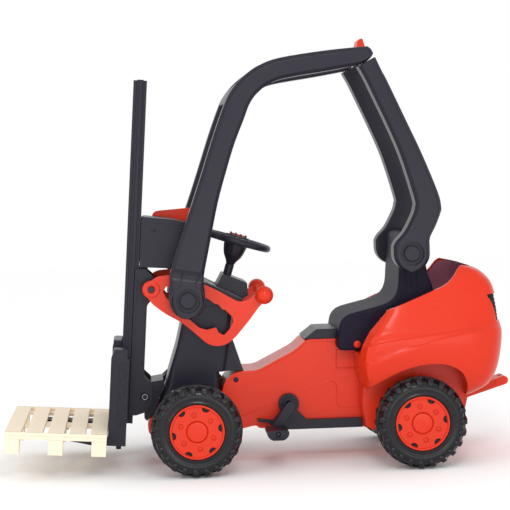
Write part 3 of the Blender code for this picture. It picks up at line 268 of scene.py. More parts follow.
def placed(bm, matrix):
    bmesh.ops.transform(bm, matrix=matrix, verts=bm.verts[:])
    if matrix.determinant() < 0:
        bmesh.ops.reverse_faces(bm, faces=bm.faces[:])
    return bm


def together(*shapes):
    """Several shapes as one mesh, side by side."""
    whole = bmesh.new()
    for shape in shapes:
        whole.from_mesh(as_mesh(shape))
    return whole


def piece(name, bm, finish, body, place=TOY, edge=0.0, rounds=2, flat=True, sharp=32):
    """A drawn shape made into a finished piece, its edges rounded, riding on its CAD body.

    A piece with the name of a CAD node takes that node's place.
    """
    placed(bm, place)
    if flat:
        bmesh.ops.dissolve_limit(bm, angle_limit=math.radians(0.3), verts=bm.verts[:], edges=bm.edges[:])
    thing = as_object(bm, name)
    if edge:
        bevel = thing.modifiers.new("edge", "BEVEL")
        bevel.width, bevel.segments, bevel.angle_limit = edge, rounds, math.radians(sharp)
        bevel.miter_outer = "MITER_ARC"
    thing.data.shade_smooth()
    if not edge:
        thing.data.set_sharp_from_angle(angle=math.radians(sharp))
    weighted = thing.modifiers.new("flats", "WEIGHTED_NORMAL")
    weighted.keep_sharp = True
    mesh = settled(thing)
    mesh.name = name
    mesh.materials.clear()
    mesh.materials.append(finish)
    made = bpy.data.objects.new(name, mesh)
    bpy.context.scene.collection.objects.link(made)
    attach(made, body)
    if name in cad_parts:
        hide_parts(name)
    return made


SIDES = (("left", -1), ("right", 1))
BODY_HALF = 0.065
BODY_OUTLINE = [
    (-0.109, 0.104), (-0.108, 0.078), (-0.094, 0.069), (0.098, 0.078), (0.145, 0.088), (0.15, 0.08),
    (0.392, 0.08), (0.4, 0.072), (0.455, 0.072), (0.455, 0.262), (0.345, 0.285), (0.265, 0.285),
    (0.241, 0.262), (0.15, 0.2165), (0.112, 0.2165), (0.088, 0.208), (0.072, 0.19), (0.062, 0.15),
    (-0.08, 0.15), (-0.088, 0.128),
]


def tube(points, radius, sides=8):
    """A thin round bead along points (x, y, z)."""
    rings = []
    for i, point in enumerate(points):
        here = Vector(point)
        along = Vector(points[min(i + 1, len(points) - 1)]) - Vector(points[max(i - 1, 0)])
        frame_y = along.cross(Vector((0, 1, 0))).normalized()
        frame_x = along.cross(frame_y).normalized()
        rings.append(
            [here + (frame_x * math.cos(a) + frame_y * math.sin(a)) * radius
             for a in (2 * math.pi * k / sides for k in range(sides))]
        )
    return stack(rings)


def stack(rings, closed=False):
    """Rings of equally many points joined into a tube, with a flat cap on each end."""
    bm = bmesh.new()
    made = [[bm.verts.new(point) for point in ring] for ring in rings]
    pairs = list(zip(made, made[1:]))
    if closed:
        pairs.append((made[-1], made[0]))
    for low, high in pairs:
        for i in range(len(low)):
            j = (i + 1) % len(low)
            bm.faces.new((low[i], low[j], high[j], high[i]))
    if not closed:
        bm.faces.new(made[0])
        bm.faces.new(made[-1])
    bmesh.ops.recalc_face_normals(bm, faces=bm.faces[:])
    return bm


def turned(profile, segments=72):
    """A profile of (radius, height) turned about Z; a radius of 0 is a point on the axis."""
    bm = bmesh.new()
    rings = []
    for radius, height in profile:
        if radius == 0:
            rings.append([bm.verts.new((0, 0, height))])
            continue
        angles = (2 * math.pi * k / segments for k in range(segments))
        rings.append([bm.verts.new((radius * math.cos(a), radius * math.sin(a), height)) for a in angles])
    for ring, after in zip(rings, rings[1:] + rings[:1]):
        if len(ring) == 1 and len(after) == 1:
            continue
        for k in range(segments):
            n = (k + 1) % segments
            corners = [ring[k % len(ring)], ring[n % len(ring)], after[n % len(after)],
                       after[k % len(after)]]
            bm.faces.new(list(dict.fromkeys(corners)))
    bmesh.ops.recalc_face_normals(bm, faces=bm.faces[:])
    return bm


def about_y(x=0.0, y=0.0, z=0.0, side=1):
    """The place of a shape drawn about +Z whose height runs along Y towards side."""
    return shifted(x, y, z) @ Matrix.Rotation(-math.pi / 2 * side, 4, "X")


def rod(radius, low, high, segments=48):
    """A round bar about Z between two heights."""
    return turned([(0, low), (radius, low), (radius, high), (0, high)], segments)


def rod_y(x, z, radius, low, high, segments=48):
    return placed(rod(radius, low, high, segments), about_y(x, 0, z))


def oblong(x0, x1, z0, z1):
    return [(x0, z0), (x1, z0), (x1, z1), (x0, z1)]


def block(x, y, z):
    return stack([[(a, b, h) for a, b in oblong(*x, *y)] for h in z])


def shifted(x=0.0, y=0.0, z=0.0):
    return Matrix.Translation((x, y, z))


CRANK_X, CRANK_Z = 0.221, 0.137
for name, side in SIDES:
    wall = BODY_HALF - 0.0035
    low, high = sorted((side * 0.0002, side * BODY_HALF))
    inner = [(x * 0.985 + 0.0025, 0.15 + (z - 0.15) * 0.955) for x, z in BODY_OUTLINE]
    hollow = plate(inner, *sorted((-side * 0.01, side * wall)))
    sunk = sorted((side * (BODY_HALF - 0.0025), side * 0.08))
    gap = plate(oblong(0.334, 0.386, 0.212, 0.26), *sunk)
    nick = plate(oblong(0.316, 0.32, 0.278, 0.29), *sunk)
    bore = rod_y(CRANK_X, CRANK_Z, 0.007, -0.08, 0.08)
    well = rod_y(0.0995, 0.1965, 0.0068, *sorted((side * (BODY_HALF - 0.002), side * 0.08)))
    shell = plate(softened(BODY_OUTLINE, 0.012), low, high)
    piece(f"body_shell_{name}", carved(shell, cut=[hollow, gap, nick, bore, well]), RED, "chassis",
          edge=0.0022, rounds=3)
    raised = plate(oblong(0.3372, 0.385, 0.216, 0.259),
                   *sorted((side * (BODY_HALF - 0.003), side * (BODY_HALF + 0.0006))))
    piece(f"seat_stop_{name}", raised, RED, "chassis", edge=0.0016, rounds=3)
    lip = softened([(0.38, 0.2725), (0.345, 0.28), (0.267, 0.28), (0.243, 0.2575), (0.151, 0.212),
                    (0.113, 0.212), (0.091, 0.204), (0.0765, 0.188), (0.068, 0.154)], 0.012, closed=False)
    bead = tube([(x, side * (BODY_HALF - 0.0001), z) for x, z in lip], 0.0011)
    panel = softened([(0.1042, 0.1085), (0.154, 0.1278), (0.314, 0.185), (0.329, 0.185), (0.3355, 0.176),
                      (0.3355, 0.129), (0.342, 0.1235), (0.387, 0.1235)], 0.01, closed=False)
    seam = tube([(x, side * (BODY_HALF - 0.0003), z) for x, z in panel], 0.0012)
    piece(f"body_lips_{name}", together(bead, seam), RED, "chassis", flat=False)
    head = turned([(0, 0.0), (0.0056, 0.0), (0.0056, 0.0022), (0.0046, 0.003), (0.003, 0.0032),
                   (0.0026, 0.0016), (0, 0.0016)], 36)
    place = TOY @ about_y(0.0995, side * (BODY_HALF - 0.0022), 0.1965, side)
    piece(f"body_bolt_{name}", head, BLACK, "chassis", place=place, flat=False)

# ---- Side rails and crank bearings ----------------------------------------------------------
# A black glass-filled rail is bolted under each side of the body. It rises in a round boss
# that carries the crank bearing, with a ring of small drain holes round the shaft.
def repeat_tree():
    """Copies the shape it is given: each copy is turned a step further and moved a step further."""
    tree = bpy.data.node_groups.new("copies", "GeometryNodeTree")
    tree.is_modifier = True
    face = tree.interface
    for socket, kind in (("Shape", "NodeSocketGeometry"), ("Copies", "NodeSocketInt"),
                         ("Turn each", "NodeSocketFloat"),
                         ("Step each", "NodeSocketVector"), ("Finish", "NodeSocketMaterial")):
        face.new_socket(socket, in_out="INPUT", socket_type=kind)
    face.new_socket("Shape", in_out="OUTPUT", socket_type="NodeSocketGeometry")

    def add(kind, **sockets):
        node = tree.nodes.new(kind)
        for key, value in sockets.items():
            socket = node.inputs[key.replace("_", " ")]
            if hasattr(value, "is_linked"):
                tree.links.new(value, socket)
            else:
                socket.default_value = value
        return node

    given = tree.nodes.new("NodeGroupInput").outputs
    line = add("GeometryNodeMeshLine", Count=given["Copies"], Offset=(0, 0, 0))
    copies = add("GeometryNodeInstanceOnPoints", Points=line.outputs[0], Instance=given["Shape"])
    number = tree.nodes.new("GeometryNodeInputIndex").outputs[0]
    angle = tree.nodes.new("ShaderNodeMath")
    angle.operation = "MULTIPLY"
    tree.links.new(number, angle.inputs[0])
    tree.links.new(given["Turn each"], angle.inputs[1])
    about = add("ShaderNodeCombineXYZ", Z=angle.outputs[0])
    spun = add("GeometryNodeRotateInstances", Instances=copies.outputs[0], Rotation=about.outputs[0])
    spun.inputs["Local Space"].default_value = False
    reach = tree.nodes.new("ShaderNodeVectorMath")
    reach.operation = "SCALE"
    tree.links.new(given["Step each"], reach.inputs[0])
    tree.links.new(number, reach.inputs["Scale"])
    stepped = add("GeometryNodeTranslateInstances", Instances=spun.outputs[0],
                  Translation=reach.outputs[0])
    stepped.inputs["Local Space"].default_value = False
    real = add("GeometryNodeRealizeInstances", Geometry=stepped.outputs[0])
    painted = add("GeometryNodeSetMaterial", Geometry=real.outputs[0], Material=given["Finish"])
    tree.links.new(painted.outputs[0], tree.nodes.new("NodeGroupOutput").inputs[0])
    return tree


COPIES = repeat_tree()


def repeated(bm, count, turn=0.0, step=(0, 0, 0), finish=None):
    """A shape and its copies about Z or along a line, as one plain mesh."""
    thing = as_object(bm)
    modifier = thing.modifiers.new("copies", "NODES")
    modifier.node_group = COPIES
    chosen = {"Copies": count, "Turn each": turn, "Step each": step, "Finish": finish or BLACK}
    for item in COPIES.interface.items_tree:
        if item.in_out == "INPUT" and item.name in chosen:
            modifier[item.identifier] = chosen[item.name]
    done = bmesh.new()
    done.from_mesh(settled(thing))
    return done


RAIL_OUTLINE = [
    (0.148, 0.0975), (0.172, 0.095), (0.183, 0.083), (0.217, 0.077), (0.308, 0.0765), (0.3945, 0.0765),
    (0.3905, 0.0985), (0.262, 0.0985), *arc(CRANK_X, CRANK_Z, 0.024, -38, 218, 40), (0.184, 0.1),
    (0.148, 0.1045),
]
for name, side in SIDES:
    low, high = sorted((side * 0.0654, side * 0.08))
    outward = about_y(CRANK_X, side * 0.078, CRANK_Z, side)
    drains = repeated(placed(rod(0.0024, 0, 0.01, 20), shifted(0.017)), 10, math.tau / 10)
    shaft_hole = circle(CRANK_X, CRANK_Z, 0.0078)
    rail = carved(plate(RAIL_OUTLINE, low, high, [shaft_hole]), cut=[placed(drains, outward)])
    piece(f"side_rail_{name}", rail, BLACK, "chassis", edge=0.0013)
    ring = turned([(0.008, 0), (0.0118, 0), (0.0118, 0.0024), (0.0108, 0.003), (0.009, 0.003),
                   (0.008, 0.0022)])
    piece(f"crank_bearing_{name}", ring, BLACK, "chassis",
          place=TOY @ about_y(CRANK_X, side * 0.0799, CRANK_Z, side), flat=False)

# ---- Crank, pedals and chain ----------------------------------------------------------------
# A bent steel crank, painted black, turns in the rails. The black pedals are hollow blocks with
# grooved treads, heavy side down; chainring, sprocket and chain run inside the body.
def metal(name, colour, rough):
    """Zinc-plated steel: drawn lines along the piece, and patches where the plating is duller."""
    finish = Finish(name, Metallic=1.0)
    lines = finish.noise(220.0, 3.0, finish.stretched((1.0, 0.06, 1.0)))
    patches = finish.noise(24.0, 3.0)
    tone = finish.mix(patches, (*colour, 1), (*[c * 0.72 for c in colour], 1))
    return finish.feed(Base_Color=tone, Roughness=patches * 0.16 + lines * 0.1 + (rough - 0.08),
                       Normal=finish.bump(lines, 0.15, 0.0002))


STEEL = metal("plated_steel", (0.56, 0.57, 0.6), 0.34)


def carried(node, finish):
    """A CAD node whose shape is right keeps it, and takes this finish."""
    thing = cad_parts[node]
    thing.data.materials.clear()
    thing.data.materials.append(finish)


CRANK_ARM, CRANK_TURN = 0.062, math.radians(234)
crank_parts = []
for name, side, way in (("left", -1, 1), ("right", 1, -1)):
    out = Vector((math.cos(CRANK_TURN), math.sin(CRANK_TURN)))
    end = Vector((CRANK_X, CRANK_Z)) + out * CRANK_ARM * way
    angle = math.degrees(CRANK_TURN) + (0 if way > 0 else 180)
    arm = arc(end.x, end.y, 0.009, angle - 90, angle + 90, 16)
    arm += arc(CRANK_X, CRANK_Z, 0.011, angle + 90, angle + 270, 16)
    crank_parts.append(plate(arm, *sorted((side * 0.113, side * 0.123))))
    crank_parts.append(rod_y(end.x, end.y, 0.0045, *sorted((side * 0.1229, side * 0.195)), segments=28))
    half, tall, deep = 0.025, 0.008, 0.0145
    outline = [(-half, tall), (-half, -0.004), (0.01 - half, -deep), (half - 0.01, -deep), (half, -0.004),
               (half, tall)]
    outline = softened([(end.x + x, end.y + z) for x, z in outline], 0.007)
    low, high = sorted((side * 0.125, side * 0.197))
    groove_low = end.y + tall - 0.0016
    groove = oblong(end.x - half + 0.005, end.x - half + 0.0072, groove_low, groove_low + 0.01)
    grooves = repeated(plate(groove, low + 0.004, high - 0.004), 9, step=(0.0048, 0, 0))
    slot = oblong(end.x - 0.013, end.x + 0.013, end.y - 0.013, end.y - 0.0118)
    slots = repeated(plate(slot, *sorted((side * 0.1952, side * 0.199))), 3, step=(0, 0, 0.003))
    pedal = carved(plate(outline, low, high, [circle(end.x, end.y, 0.0058, 28)]), cut=[grooves, slots])
    piece(f"pedal_{name}", pedal, BLACK, f"pedal_{name}", edge=0.0006)
crank_parts.append(rod_y(CRANK_X, CRANK_Z, 0.006, -0.1131, 0.1131))
piece("crankshaft", together(*crank_parts), BLACK, "crank", edge=0.0008)
for node in ("chain", "chainring", "rear_sprocket"):
    carried(node, STEEL)

# ---- Axles and steering gear ----------------------------------------------------------------
# A black beam crosses under the nose. Bent steel knuckles swing in its forks, and a flat tie rod
# joins their arms behind the beam, pushed from side to side by the peg of the steering column.
def rounded_node(node, finish, body, edge, sharp=40):
    """A CAD node's own solid with its edges eased."""
    bm = bmesh.new()
    bm.from_mesh(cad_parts[node].data)
    bmesh.ops.remove_doubles(bm, verts=bm.verts[:], dist=1e-5)
    return piece(node, bm, finish, body, place=Matrix.Identity(4), edge=edge, sharp=sharp)


rounded_node("front_axle_beam", BLACK, "chassis", 0.0012)
rounded_node("tie_rod", STEEL, "tie_rod", 0.0006)
for name, side in SIDES:
    rounded_node(f"knuckle_{name}", STEEL, f"knuckle_{name}", 0.0005, 60)
REAR_X, WHEEL_R, HALF_TRACK = 0.510, 0.104, 0.200


def pin(radius, half, ease):
    """A straight pin about Z, its two ends eased."""
    return turned([(0, -half), (radius - ease, -half), (radius, ease - half), (radius, half - ease),
                   (radius - ease, half), (0, half)], 48)


piece("rear_axle", pin(0.006, 0.218, 0.0008), STEEL, "rear_drive",
      place=TOY @ about_y(REAR_X, 0, WHEEL_R), flat=False)

# ---- Wheels ---------------------------------------------------------------------------------
# Hollow-blown tyres of shiny black vinyl carry two rows of slanted tractor lugs that meet at a
# thin parting ring. The red rims are snapped in: a grooved hub, six nubs and six half-round holes.
def tyre_vinyl():
    finish = Finish("tyre_vinyl", Specular_IOR_Level=0.3)
    clouds = finish.noise(22.0, 4.0)
    dimples = finish.noise(240.0, 3.0)
    tone = finish.mix(clouds, (0.005, 0.005, 0.007, 1), (0.011, 0.01, 0.013, 1))
    return finish.feed(Base_Color=tone, Roughness=clouds * 0.22 + dimples * 0.1 + 0.1,
                       Normal=finish.bump(dimples + clouds * 2.0, 0.22, 0.0008))


VINYL = tyre_vinyl()
# painted shade: a near-black finish for the floors of the rim's window pockets, standing in for the shade
# inside them
RIM_HOLE_SHADE = moulded("rim_shadow", (0.006, 0.006, 0.007), (0.01, 0.009, 0.01), 0.7)
RIM_R, NUB_R = 0.062, 0.039
carcass = [
    (RIM_R + 0.0005, 0.03), (RIM_R + 0.0015, 0.0318), (RIM_R + 0.004, 0.0335), (RIM_R + 0.006, 0.033),
    (RIM_R + 0.0075, 0.0318), (RIM_R + 0.0095, 0.0318), (RIM_R + 0.014, 0.0332), (0.08, 0.034),
    (0.084, 0.0332), (0.0885, 0.0318), (0.0925, 0.029), (0.095, 0.0255), (0.0966, 0.02), (0.0974, 0.01),
    (0.0978, 0.0042), (0.1, 0.0036), (0.1034, 0.0026), (0.1039, 0.001),
]
carcass = carcass + [(r, -h) for r, h in reversed(carcass)]
LUGS = 23
SIXTH = math.tau / 6
TO_WINDOWS, TO_NUBS = (Matrix.Rotation(math.radians(turn), 4, "Z") for turn in (8, 39))


def lug(way):
    """One slanted lug: up the side wall, over the shoulder and across the tread to the middle."""
    stations = [  # radius of the top, height, angle along the tyre, half width, depth
        (0.0835, 0.0338, -1.0, 0.002, 0.004), (0.0865, 0.0345, -0.6, 0.004, 0.006),
        (0.092, 0.0348, 0.0, 0.0052, 0.006), (0.0975, 0.0338, 0.4, 0.0056, 0.008),
        (0.101, 0.0312, 0.8, 0.0056, 0.01), (0.1022, 0.027, 1.6, 0.0054, 0.01),
        (0.1024, 0.019, 3.2, 0.005, 0.009), (0.1022, 0.01, 5.2, 0.0044, 0.008),
        (0.1016, 0.0026, 7.0, 0.0036, 0.008),
    ]
    rings = []
    for k, (radius, height, degrees, half, depth) in enumerate(stations):
        sink = min(1.0, max(0.0, (radius - 0.085) / 0.014))
        ring = []
        for across, down in ((-half, 0.0012), (-half * 0.72, 0.0), (half * 0.72, 0.0), (half, 0.0012),
                             (half * 1.25, depth), (-half * 1.25, depth)):
            r = radius - down * sink
            h = height - down * (1 - sink) * 0.6
            a = math.radians(degrees) + across / radius
            ring.append((r * math.cos(a), r * math.sin(a), h * way))
        rings.append(ring)
    return stack(rings)


rim_profile = [
    (0, 0.0262), (0.012, 0.0262), (0.0208, 0.0258), (0.022, 0.0252), (0.0226, 0.0226), (0.0236, 0.0218),
    (0.0246, 0.0226), (0.0252, 0.0252), (0.0262, 0.026), (0.053, 0.026), (0.056, 0.0262),
    (0.057, 0.028), (0.0578, 0.0298), (0.06, 0.03), (0.0614, 0.0298), (0.062, 0.0288), (0.062, -0.027),
    (0.0575, -0.027), (0.0555, 0.013), (0.016, 0.013), (0.016, -0.03), (0.0075, -0.03), (0.0075, 0.02),
    (0, 0.02),
]
window = arc(0, 0, 0.056, -9, 9, 6)
window += [(0.0547 - 0.0072 * math.cos(math.radians(b)), 0.0086 * math.sin(math.radians(b)))
           for b in range(75, -76, -15)]
for end, x in (("front", 0.0), ("rear", REAR_X)):
    for name, side in SIDES:
        body = f"front_wheel_{name}" if end == "front" else "rear_drive"
        place = TOY @ about_y(x, side * HALF_TRACK, WHEEL_R, side)
        rows = [repeated(lug(1), LUGS, math.tau / LUGS),
                placed(repeated(lug(-1), LUGS, math.tau / LUGS), Matrix.Rotation(math.pi / LUGS, 4, "Z"))]
        tyre = together(turned(carcass, 120), *rows)
        piece(f"tyre_{end}_{name}", tyre, VINYL, body, place=place, flat=False, sharp=40)
        upright = Matrix.Rotation(math.pi / 2, 4, "X")
        pocket = placed(plate(window, 0.0205, 0.05), upright)
        pockets = placed(repeated(pocket, 6, SIXTH), TO_WINDOWS)
        moat = turned([(0.0046, 0.0244), (0.0066, 0.0244), (0.0066, 0.03), (0.0046, 0.03)], 32)
        moats = placed(repeated(placed(moat, shifted(NUB_R)), 6, SIXTH), TO_NUBS)
        rim = carved(turned(rim_profile, 96), cut=[pockets, moats])
        piece(f"rim_{end}_{name}", rim, RED, body, place=place, flat=False, sharp=38)
        # a thin near-black sheet on each window pocket's floor is painted shade
        shade_sheet = placed(plate([(a, b * 0.99) for a, b in window], 0.0206, 0.0222), upright)
        shade_sheets = placed(repeated(shade_sheet, 6, SIXTH), TO_WINDOWS)
        piece(f"rim_hole_shade_{end}_{name}", shade_sheets, RIM_HOLE_SHADE, body, place=place)
        nub = turned([(0, 0.028), (0.0022, 0.0278), (0.0036, 0.0272), (0.0044, 0.0258), (0, 0.0255)], 28)
        nubs = placed(repeated(placed(nub, shifted(NUB_R)), 6, SIXTH), TO_NUBS)
        piece(f"rim_nubs_{end}_{name}", nubs, RED, body, place=place, flat=False, sharp=60)

# ---- Tower and console ----------------------------------------------------------------------
# The black tower that carries the steering column is one hollow moulding with a crease down each
# side. A black tray closes it, with a painted grey highlight on its top faces, and a raised box on the
# tray covers the column bearing.
def rounded_ring(front, back, half, z, corner=0.014, count=8):
    ring = []
    for cx, cy, start in ((back - corner, half - corner, 0), (front + corner, half - corner, 90),
                          (front + corner, -half + corner, 180), (back - corner, -half + corner, 270)):
        for k in range(count + 1):
            a = math.radians(start + 90 * k / count)
            ring.append((cx + corner * math.cos(a), cy + corner * math.sin(a), z))
    return ring


def between(levels, steps):
    """Levels with smooth ones added between them, by a spline through the given ones."""
    fine = []
    for i in range(len(levels) - 1):
        a, b, c, d = (Vector(levels[min(max(i + k, 0), len(levels) - 1)]) for k in (-1, 0, 1, 2))
        for k in range(steps):
            t = k / steps
            even = 2 * b + (c - a) * t
            bend = (2 * a - 5 * b + 4 * c - d) * t * t + (3 * b - a - 3 * c + d) * t ** 3
            fine.append(tuple(0.5 * (even + bend)))
    return fine + [tuple(levels[-1])]


COLUMN_TILT = math.radians(17.4)
STEER_X, STEER_Z, STEER_R, STEER_TUBE = 0.114, 0.519, 0.083, 0.0085
COLUMN = shifted(STEER_X, 0, STEER_Z) @ Matrix.Rotation(COLUMN_TILT, 4, "Y")
tower_levels = [
    (0.1504, -0.078, 0.0615, 0.066), (0.19, -0.062, 0.0615, 0.068), (0.2165, -0.0565, 0.0615, 0.0698),
    (0.2172, -0.0562, 0.075, 0.07), (0.28, -0.036, 0.086, 0.073), (0.33, -0.024, 0.092, 0.0748),
    (0.3655, -0.0284, 0.098, 0.075), (0.375, -0.03, 0.1, 0.075),
]
gusset = plate([(0.06, 0.217), (0.118, 0.217), (0.092, 0.3), (0.06, 0.3)], -0.056, 0.056)
column_bore = placed(rod(0.009, -0.43, 0, 40), COLUMN)
tower = carved(stack([rounded_ring(f, b, h, z) for z, f, b, h in tower_levels]), cut=[column_bore],
               join=[gusset])
piece("front_tower", tower, BLACK, "chassis", edge=0.0011, sharp=30)
for name, side in SIDES:
    crease = softened([(-0.0495, 0.172), (-0.0455, 0.215), (-0.026, 0.27), (-0.012, 0.325),
                       (-0.0115, 0.368)], 0.02, closed=False)
    line = tube([(x, side * (0.0668 + 0.04 * (z - 0.172)), z) for x, z in crease], 0.0012)
    piece(f"tower_crease_{name}", line, BLACK, "chassis", flat=False)

# painted highlight: light grey for thin strips laid on the console's black top faces, where the light
# catches them
TRAY_HIGHLIGHT = moulded("tray_painted_highlight", (0.118, 0.12, 0.13), (0.15, 0.152, 0.16), 0.4, grain=0.1)
tray = [(-0.05, 0.3754), (0.1, 0.3754), (0.118, 0.379), (0.12, 0.386), (0.069, 0.4105), (0.035, 0.4285),
        (-0.036, 0.426), (-0.05, 0.416)]
FRONT_BOSS, REAR_BOSS = (-0.010, 0.393), (0.505, 0.485)  # where the guard's feet are screwed on
BETWEEN_BARS = 0.1116  # half the gap between the two sides of the guard
stub = rod_y(*FRONT_BOSS, 0.008, -BETWEEN_BARS, BETWEEN_BARS)
raised = [(0.04, 0.4), (0.114, 0.382), (0.134, 0.391), (0.133, 0.4215), (0.077, 0.4445), (0.06, 0.4145)]
console_bore = placed(rod(0.008, -0.43, 0, 40), COLUMN)
console = carved(plate(softened(tray, 0.005), -0.09, 0.09), cut=[console_bore],
                 join=[stub, plate(softened(raised, 0.003), -0.05, 0.05)])
piece("console", console, BLACK, "chassis", edge=0.0014, rounds=3)
# thin grey strips on the flat and sloped tops beside the raised box: painted highlight
for name, side in SIDES:
    top = sorted((side * 0.0525, side * 0.087))
    top_highlight = plate([(-0.034, 0.426), (0.0335, 0.428), (0.0335, 0.4292), (-0.034, 0.4272)], *top)
    slope = plate([(0.0365, 0.4272), (0.115, 0.388), (0.1155, 0.3889), (0.0372, 0.4284)], *top)
    piece(f"tray_highlight_{name}", together(top_highlight, slope), TRAY_HIGHLIGHT, "chassis", edge=0.0004)

# ---- Steering wheel and column --------------------------------------------------------------
# A hard black wheel with a bell-shaped hub is pressed on a plain column. Finger ridges run under
# the rim, and a red horn strip lies between four small ridges on the hub.
ON_COLUMN = TOY @ COLUMN
rim = []
for i in range(144):
    a = math.tau * i / 144
    grip = STEER_TUBE * (1 - 0.035 * (0.5 - 0.5 * math.cos(48 * a)))
    ring = []
    for j in range(20):
        b = math.tau * j / 20
        radius = grip if math.sin(b) < 0.3 else STEER_TUBE
        r = STEER_R - STEER_TUBE + radius * math.cos(b)
        ring.append((r * math.cos(a), r * math.sin(a), radius * math.sin(b)))
    rim.append(ring)
wheel_rim = stack(rim, closed=True)
hub = turned([(0, -0.058), (0.0088, -0.058), (0.01, -0.057), (0.0125, -0.0505), (0.0205, -0.0385),
              (0.0235, -0.031), (0.0258, -0.022), (0.029, -0.006), (0.0306, 0.002),
              (0.031, 0.005), (0.0308, 0.0085), (0.029, 0.011), (0.02, 0.0122), (0, 0.0128)])
spokes = []
for degrees in (0, 110, 250):
    rings = []
    for r, half, thick, sag in ((0.02, 0.013, 0.006, -0.0015), (0.034, 0.0108, 0.0052, -0.0018),
                                (0.052, 0.009, 0.0046, -0.001), (0.075, 0.0104, 0.0052, 0.0)):
        ring = [(r, half * math.cos(t) if abs(math.cos(t)) > 0.02 else 0.0, sag + thick * math.sin(t))
                for t in (math.tau * k / 20 for k in range(20))]
        rings.append(ring)
    spokes.append(placed(stack(rings), Matrix.Rotation(math.radians(degrees), 4, "Z")))
piece("steering_wheel", together(wheel_rim, hub, *spokes), BLACK, "steering", place=ON_COLUMN, flat=False,
      sharp=50)
strip = plate(softened([(-0.0175, 0.01), (0.0175, 0.01), (0.0175, 0.0152), (-0.0175, 0.0152)], 0.0015),
              -0.01, 0.01)
piece("horn_strip", strip, RED, "steering", place=ON_COLUMN, edge=0.0008)
ridge = plate(softened([(-0.02, 0.009), (-0.0164, 0.009), (-0.0164, 0.017), (-0.02, 0.017)], 0.0014),
              -0.014, 0.014)
piece("horn_ridges", repeated(ridge, 4, step=(0.0121, 0, 0)), BLACK, "steering", place=ON_COLUMN,
      edge=0.0004)
column = turned([(0, -0.474), (0.007, -0.474), (0.007, -0.0978), (0.0104, -0.0978), (0.0104, -0.0584),
                 (0, -0.0584)], 48)
drop = block((-0.004, 0.038), (-0.007, 0.007), (-0.474, -0.468))
peg = placed(rod(0.0045, -0.492, -0.471, 28), shifted(0.031))
piece("steering_column", together(column, drop, peg), BLACK, "steering", place=ON_COLUMN, edge=0.0006)
collar = turned([(0.0082, -0.1085), (0.0128, -0.1085), (0.0128, -0.102), (0.011, -0.099),
                 (0.0082, -0.099)], 48)
piece("column_collar", collar, BLACK, "chassis", place=ON_COLUMN, flat=False)

# ---- Overhead guard -------------------------------------------------------------------------
# Two bowed hoops and two rear posts of black plastic, each a deep bar with broad chamfers outside.
# Each ends in a round boss with a ring groove and a press-in cap over its screw.
GUARD_HALF, GUARD_THICK, CHAMFER = 0.165, 0.053, 0.008
outer = [
    (-0.05, 0.443), (-0.046, 0.466), (-0.035, 0.502), (0.01, 0.625), (0.036, 0.7), (0.06, 0.77),
    (0.086, 0.838), (0.1, 0.864), (0.117, 0.885), (0.138, 0.904), (0.165, 0.921), (0.212, 0.937),
    (0.315, 0.951), (0.404, 0.958), (0.415, 0.957), (0.422, 0.951), (0.4255, 0.942),
]
inner = [
    (0.027, 0.435), (0.029, 0.455), (0.041, 0.51), (0.064, 0.613), (0.087, 0.69), (0.106, 0.747),
    (0.128, 0.8), (0.14, 0.83), (0.151, 0.848), (0.163, 0.861), (0.182, 0.875), (0.22, 0.89),
    (0.32, 0.905), (0.388, 0.916), (0.4, 0.919), (0.411, 0.9248), (0.419, 0.9315),
]
back_edge = [
    (0.547, 0.5), (0.548, 0.52), (0.562, 0.548), (0.574, 0.578), (0.575, 0.592), (0.568, 0.624),
    (0.534, 0.71), (0.5, 0.785), (0.456, 0.881), (0.446, 0.9), (0.4305, 0.934),
]
front_edge = [
    (0.463, 0.502), (0.47, 0.515), (0.489, 0.536), (0.508, 0.571), (0.5145, 0.592), (0.513, 0.612),
    (0.485, 0.706), (0.456, 0.777), (0.419, 0.858), (0.406, 0.886), (0.391, 0.9135),
]


def foot_stations(x, z, radius, heading, count=16):
    """Stations across the round foot of a bar, from its lowest edge up to its middle."""
    way = Vector((math.cos(heading), math.sin(heading)))
    across = Vector((way.y, -way.x))
    stations = []
    for k in range(count):
        a = math.radians(4 + 86 * k / (count - 1))
        middle = Vector((x, z)) - way * radius * math.cos(a)
        half = across * radius * math.sin(a)
        stations.append((tuple(middle - half), tuple(middle + half)))
    return stations


def bar(stations, side):
    """A deep bar through pairs of edge points, chamfered outside and eased inside."""
    rings = []
    face, back = GUARD_HALF, GUARD_HALF - GUARD_THICK
    for (ax, az), (bx, bz) in stations:
        a, b = Vector((ax, az)), Vector((bx, bz))
        wide = (b - a).length
        way = (b - a).normalized()
        cut = min(CHAMFER, 0.3 * wide)
        small = min(0.004, 0.15 * wide)
        ease = 0.18
        corners = [(cut, face), (0, face - cut), (0, back + small), (small, back),
                   (wide - small, back), (wide, back + small), (wide, face - cut), (wide - cut, face)]
        ring = []
        for i, corner in enumerate(corners):
            before, here, after = Vector(corners[i - 1]), Vector(corner), Vector(corners[(i + 1) % 8])
            for t in (0.0, 0.33, 0.67, 1.0):
                reach = min(0.0022, 0.3 * (before - here).length, 0.3 * (after - here).length)
                one = here + (before - here).normalized() * reach
                two = here + (after - here).normalized() * reach
                s = one * (1 - t) ** 2 + here * 2 * t * (1 - t) + two * t * t
                p = a + way * s.x
                ring.append((p.x, side * s.y, p.y))
        rings.append(ring)
    return stack(rings)


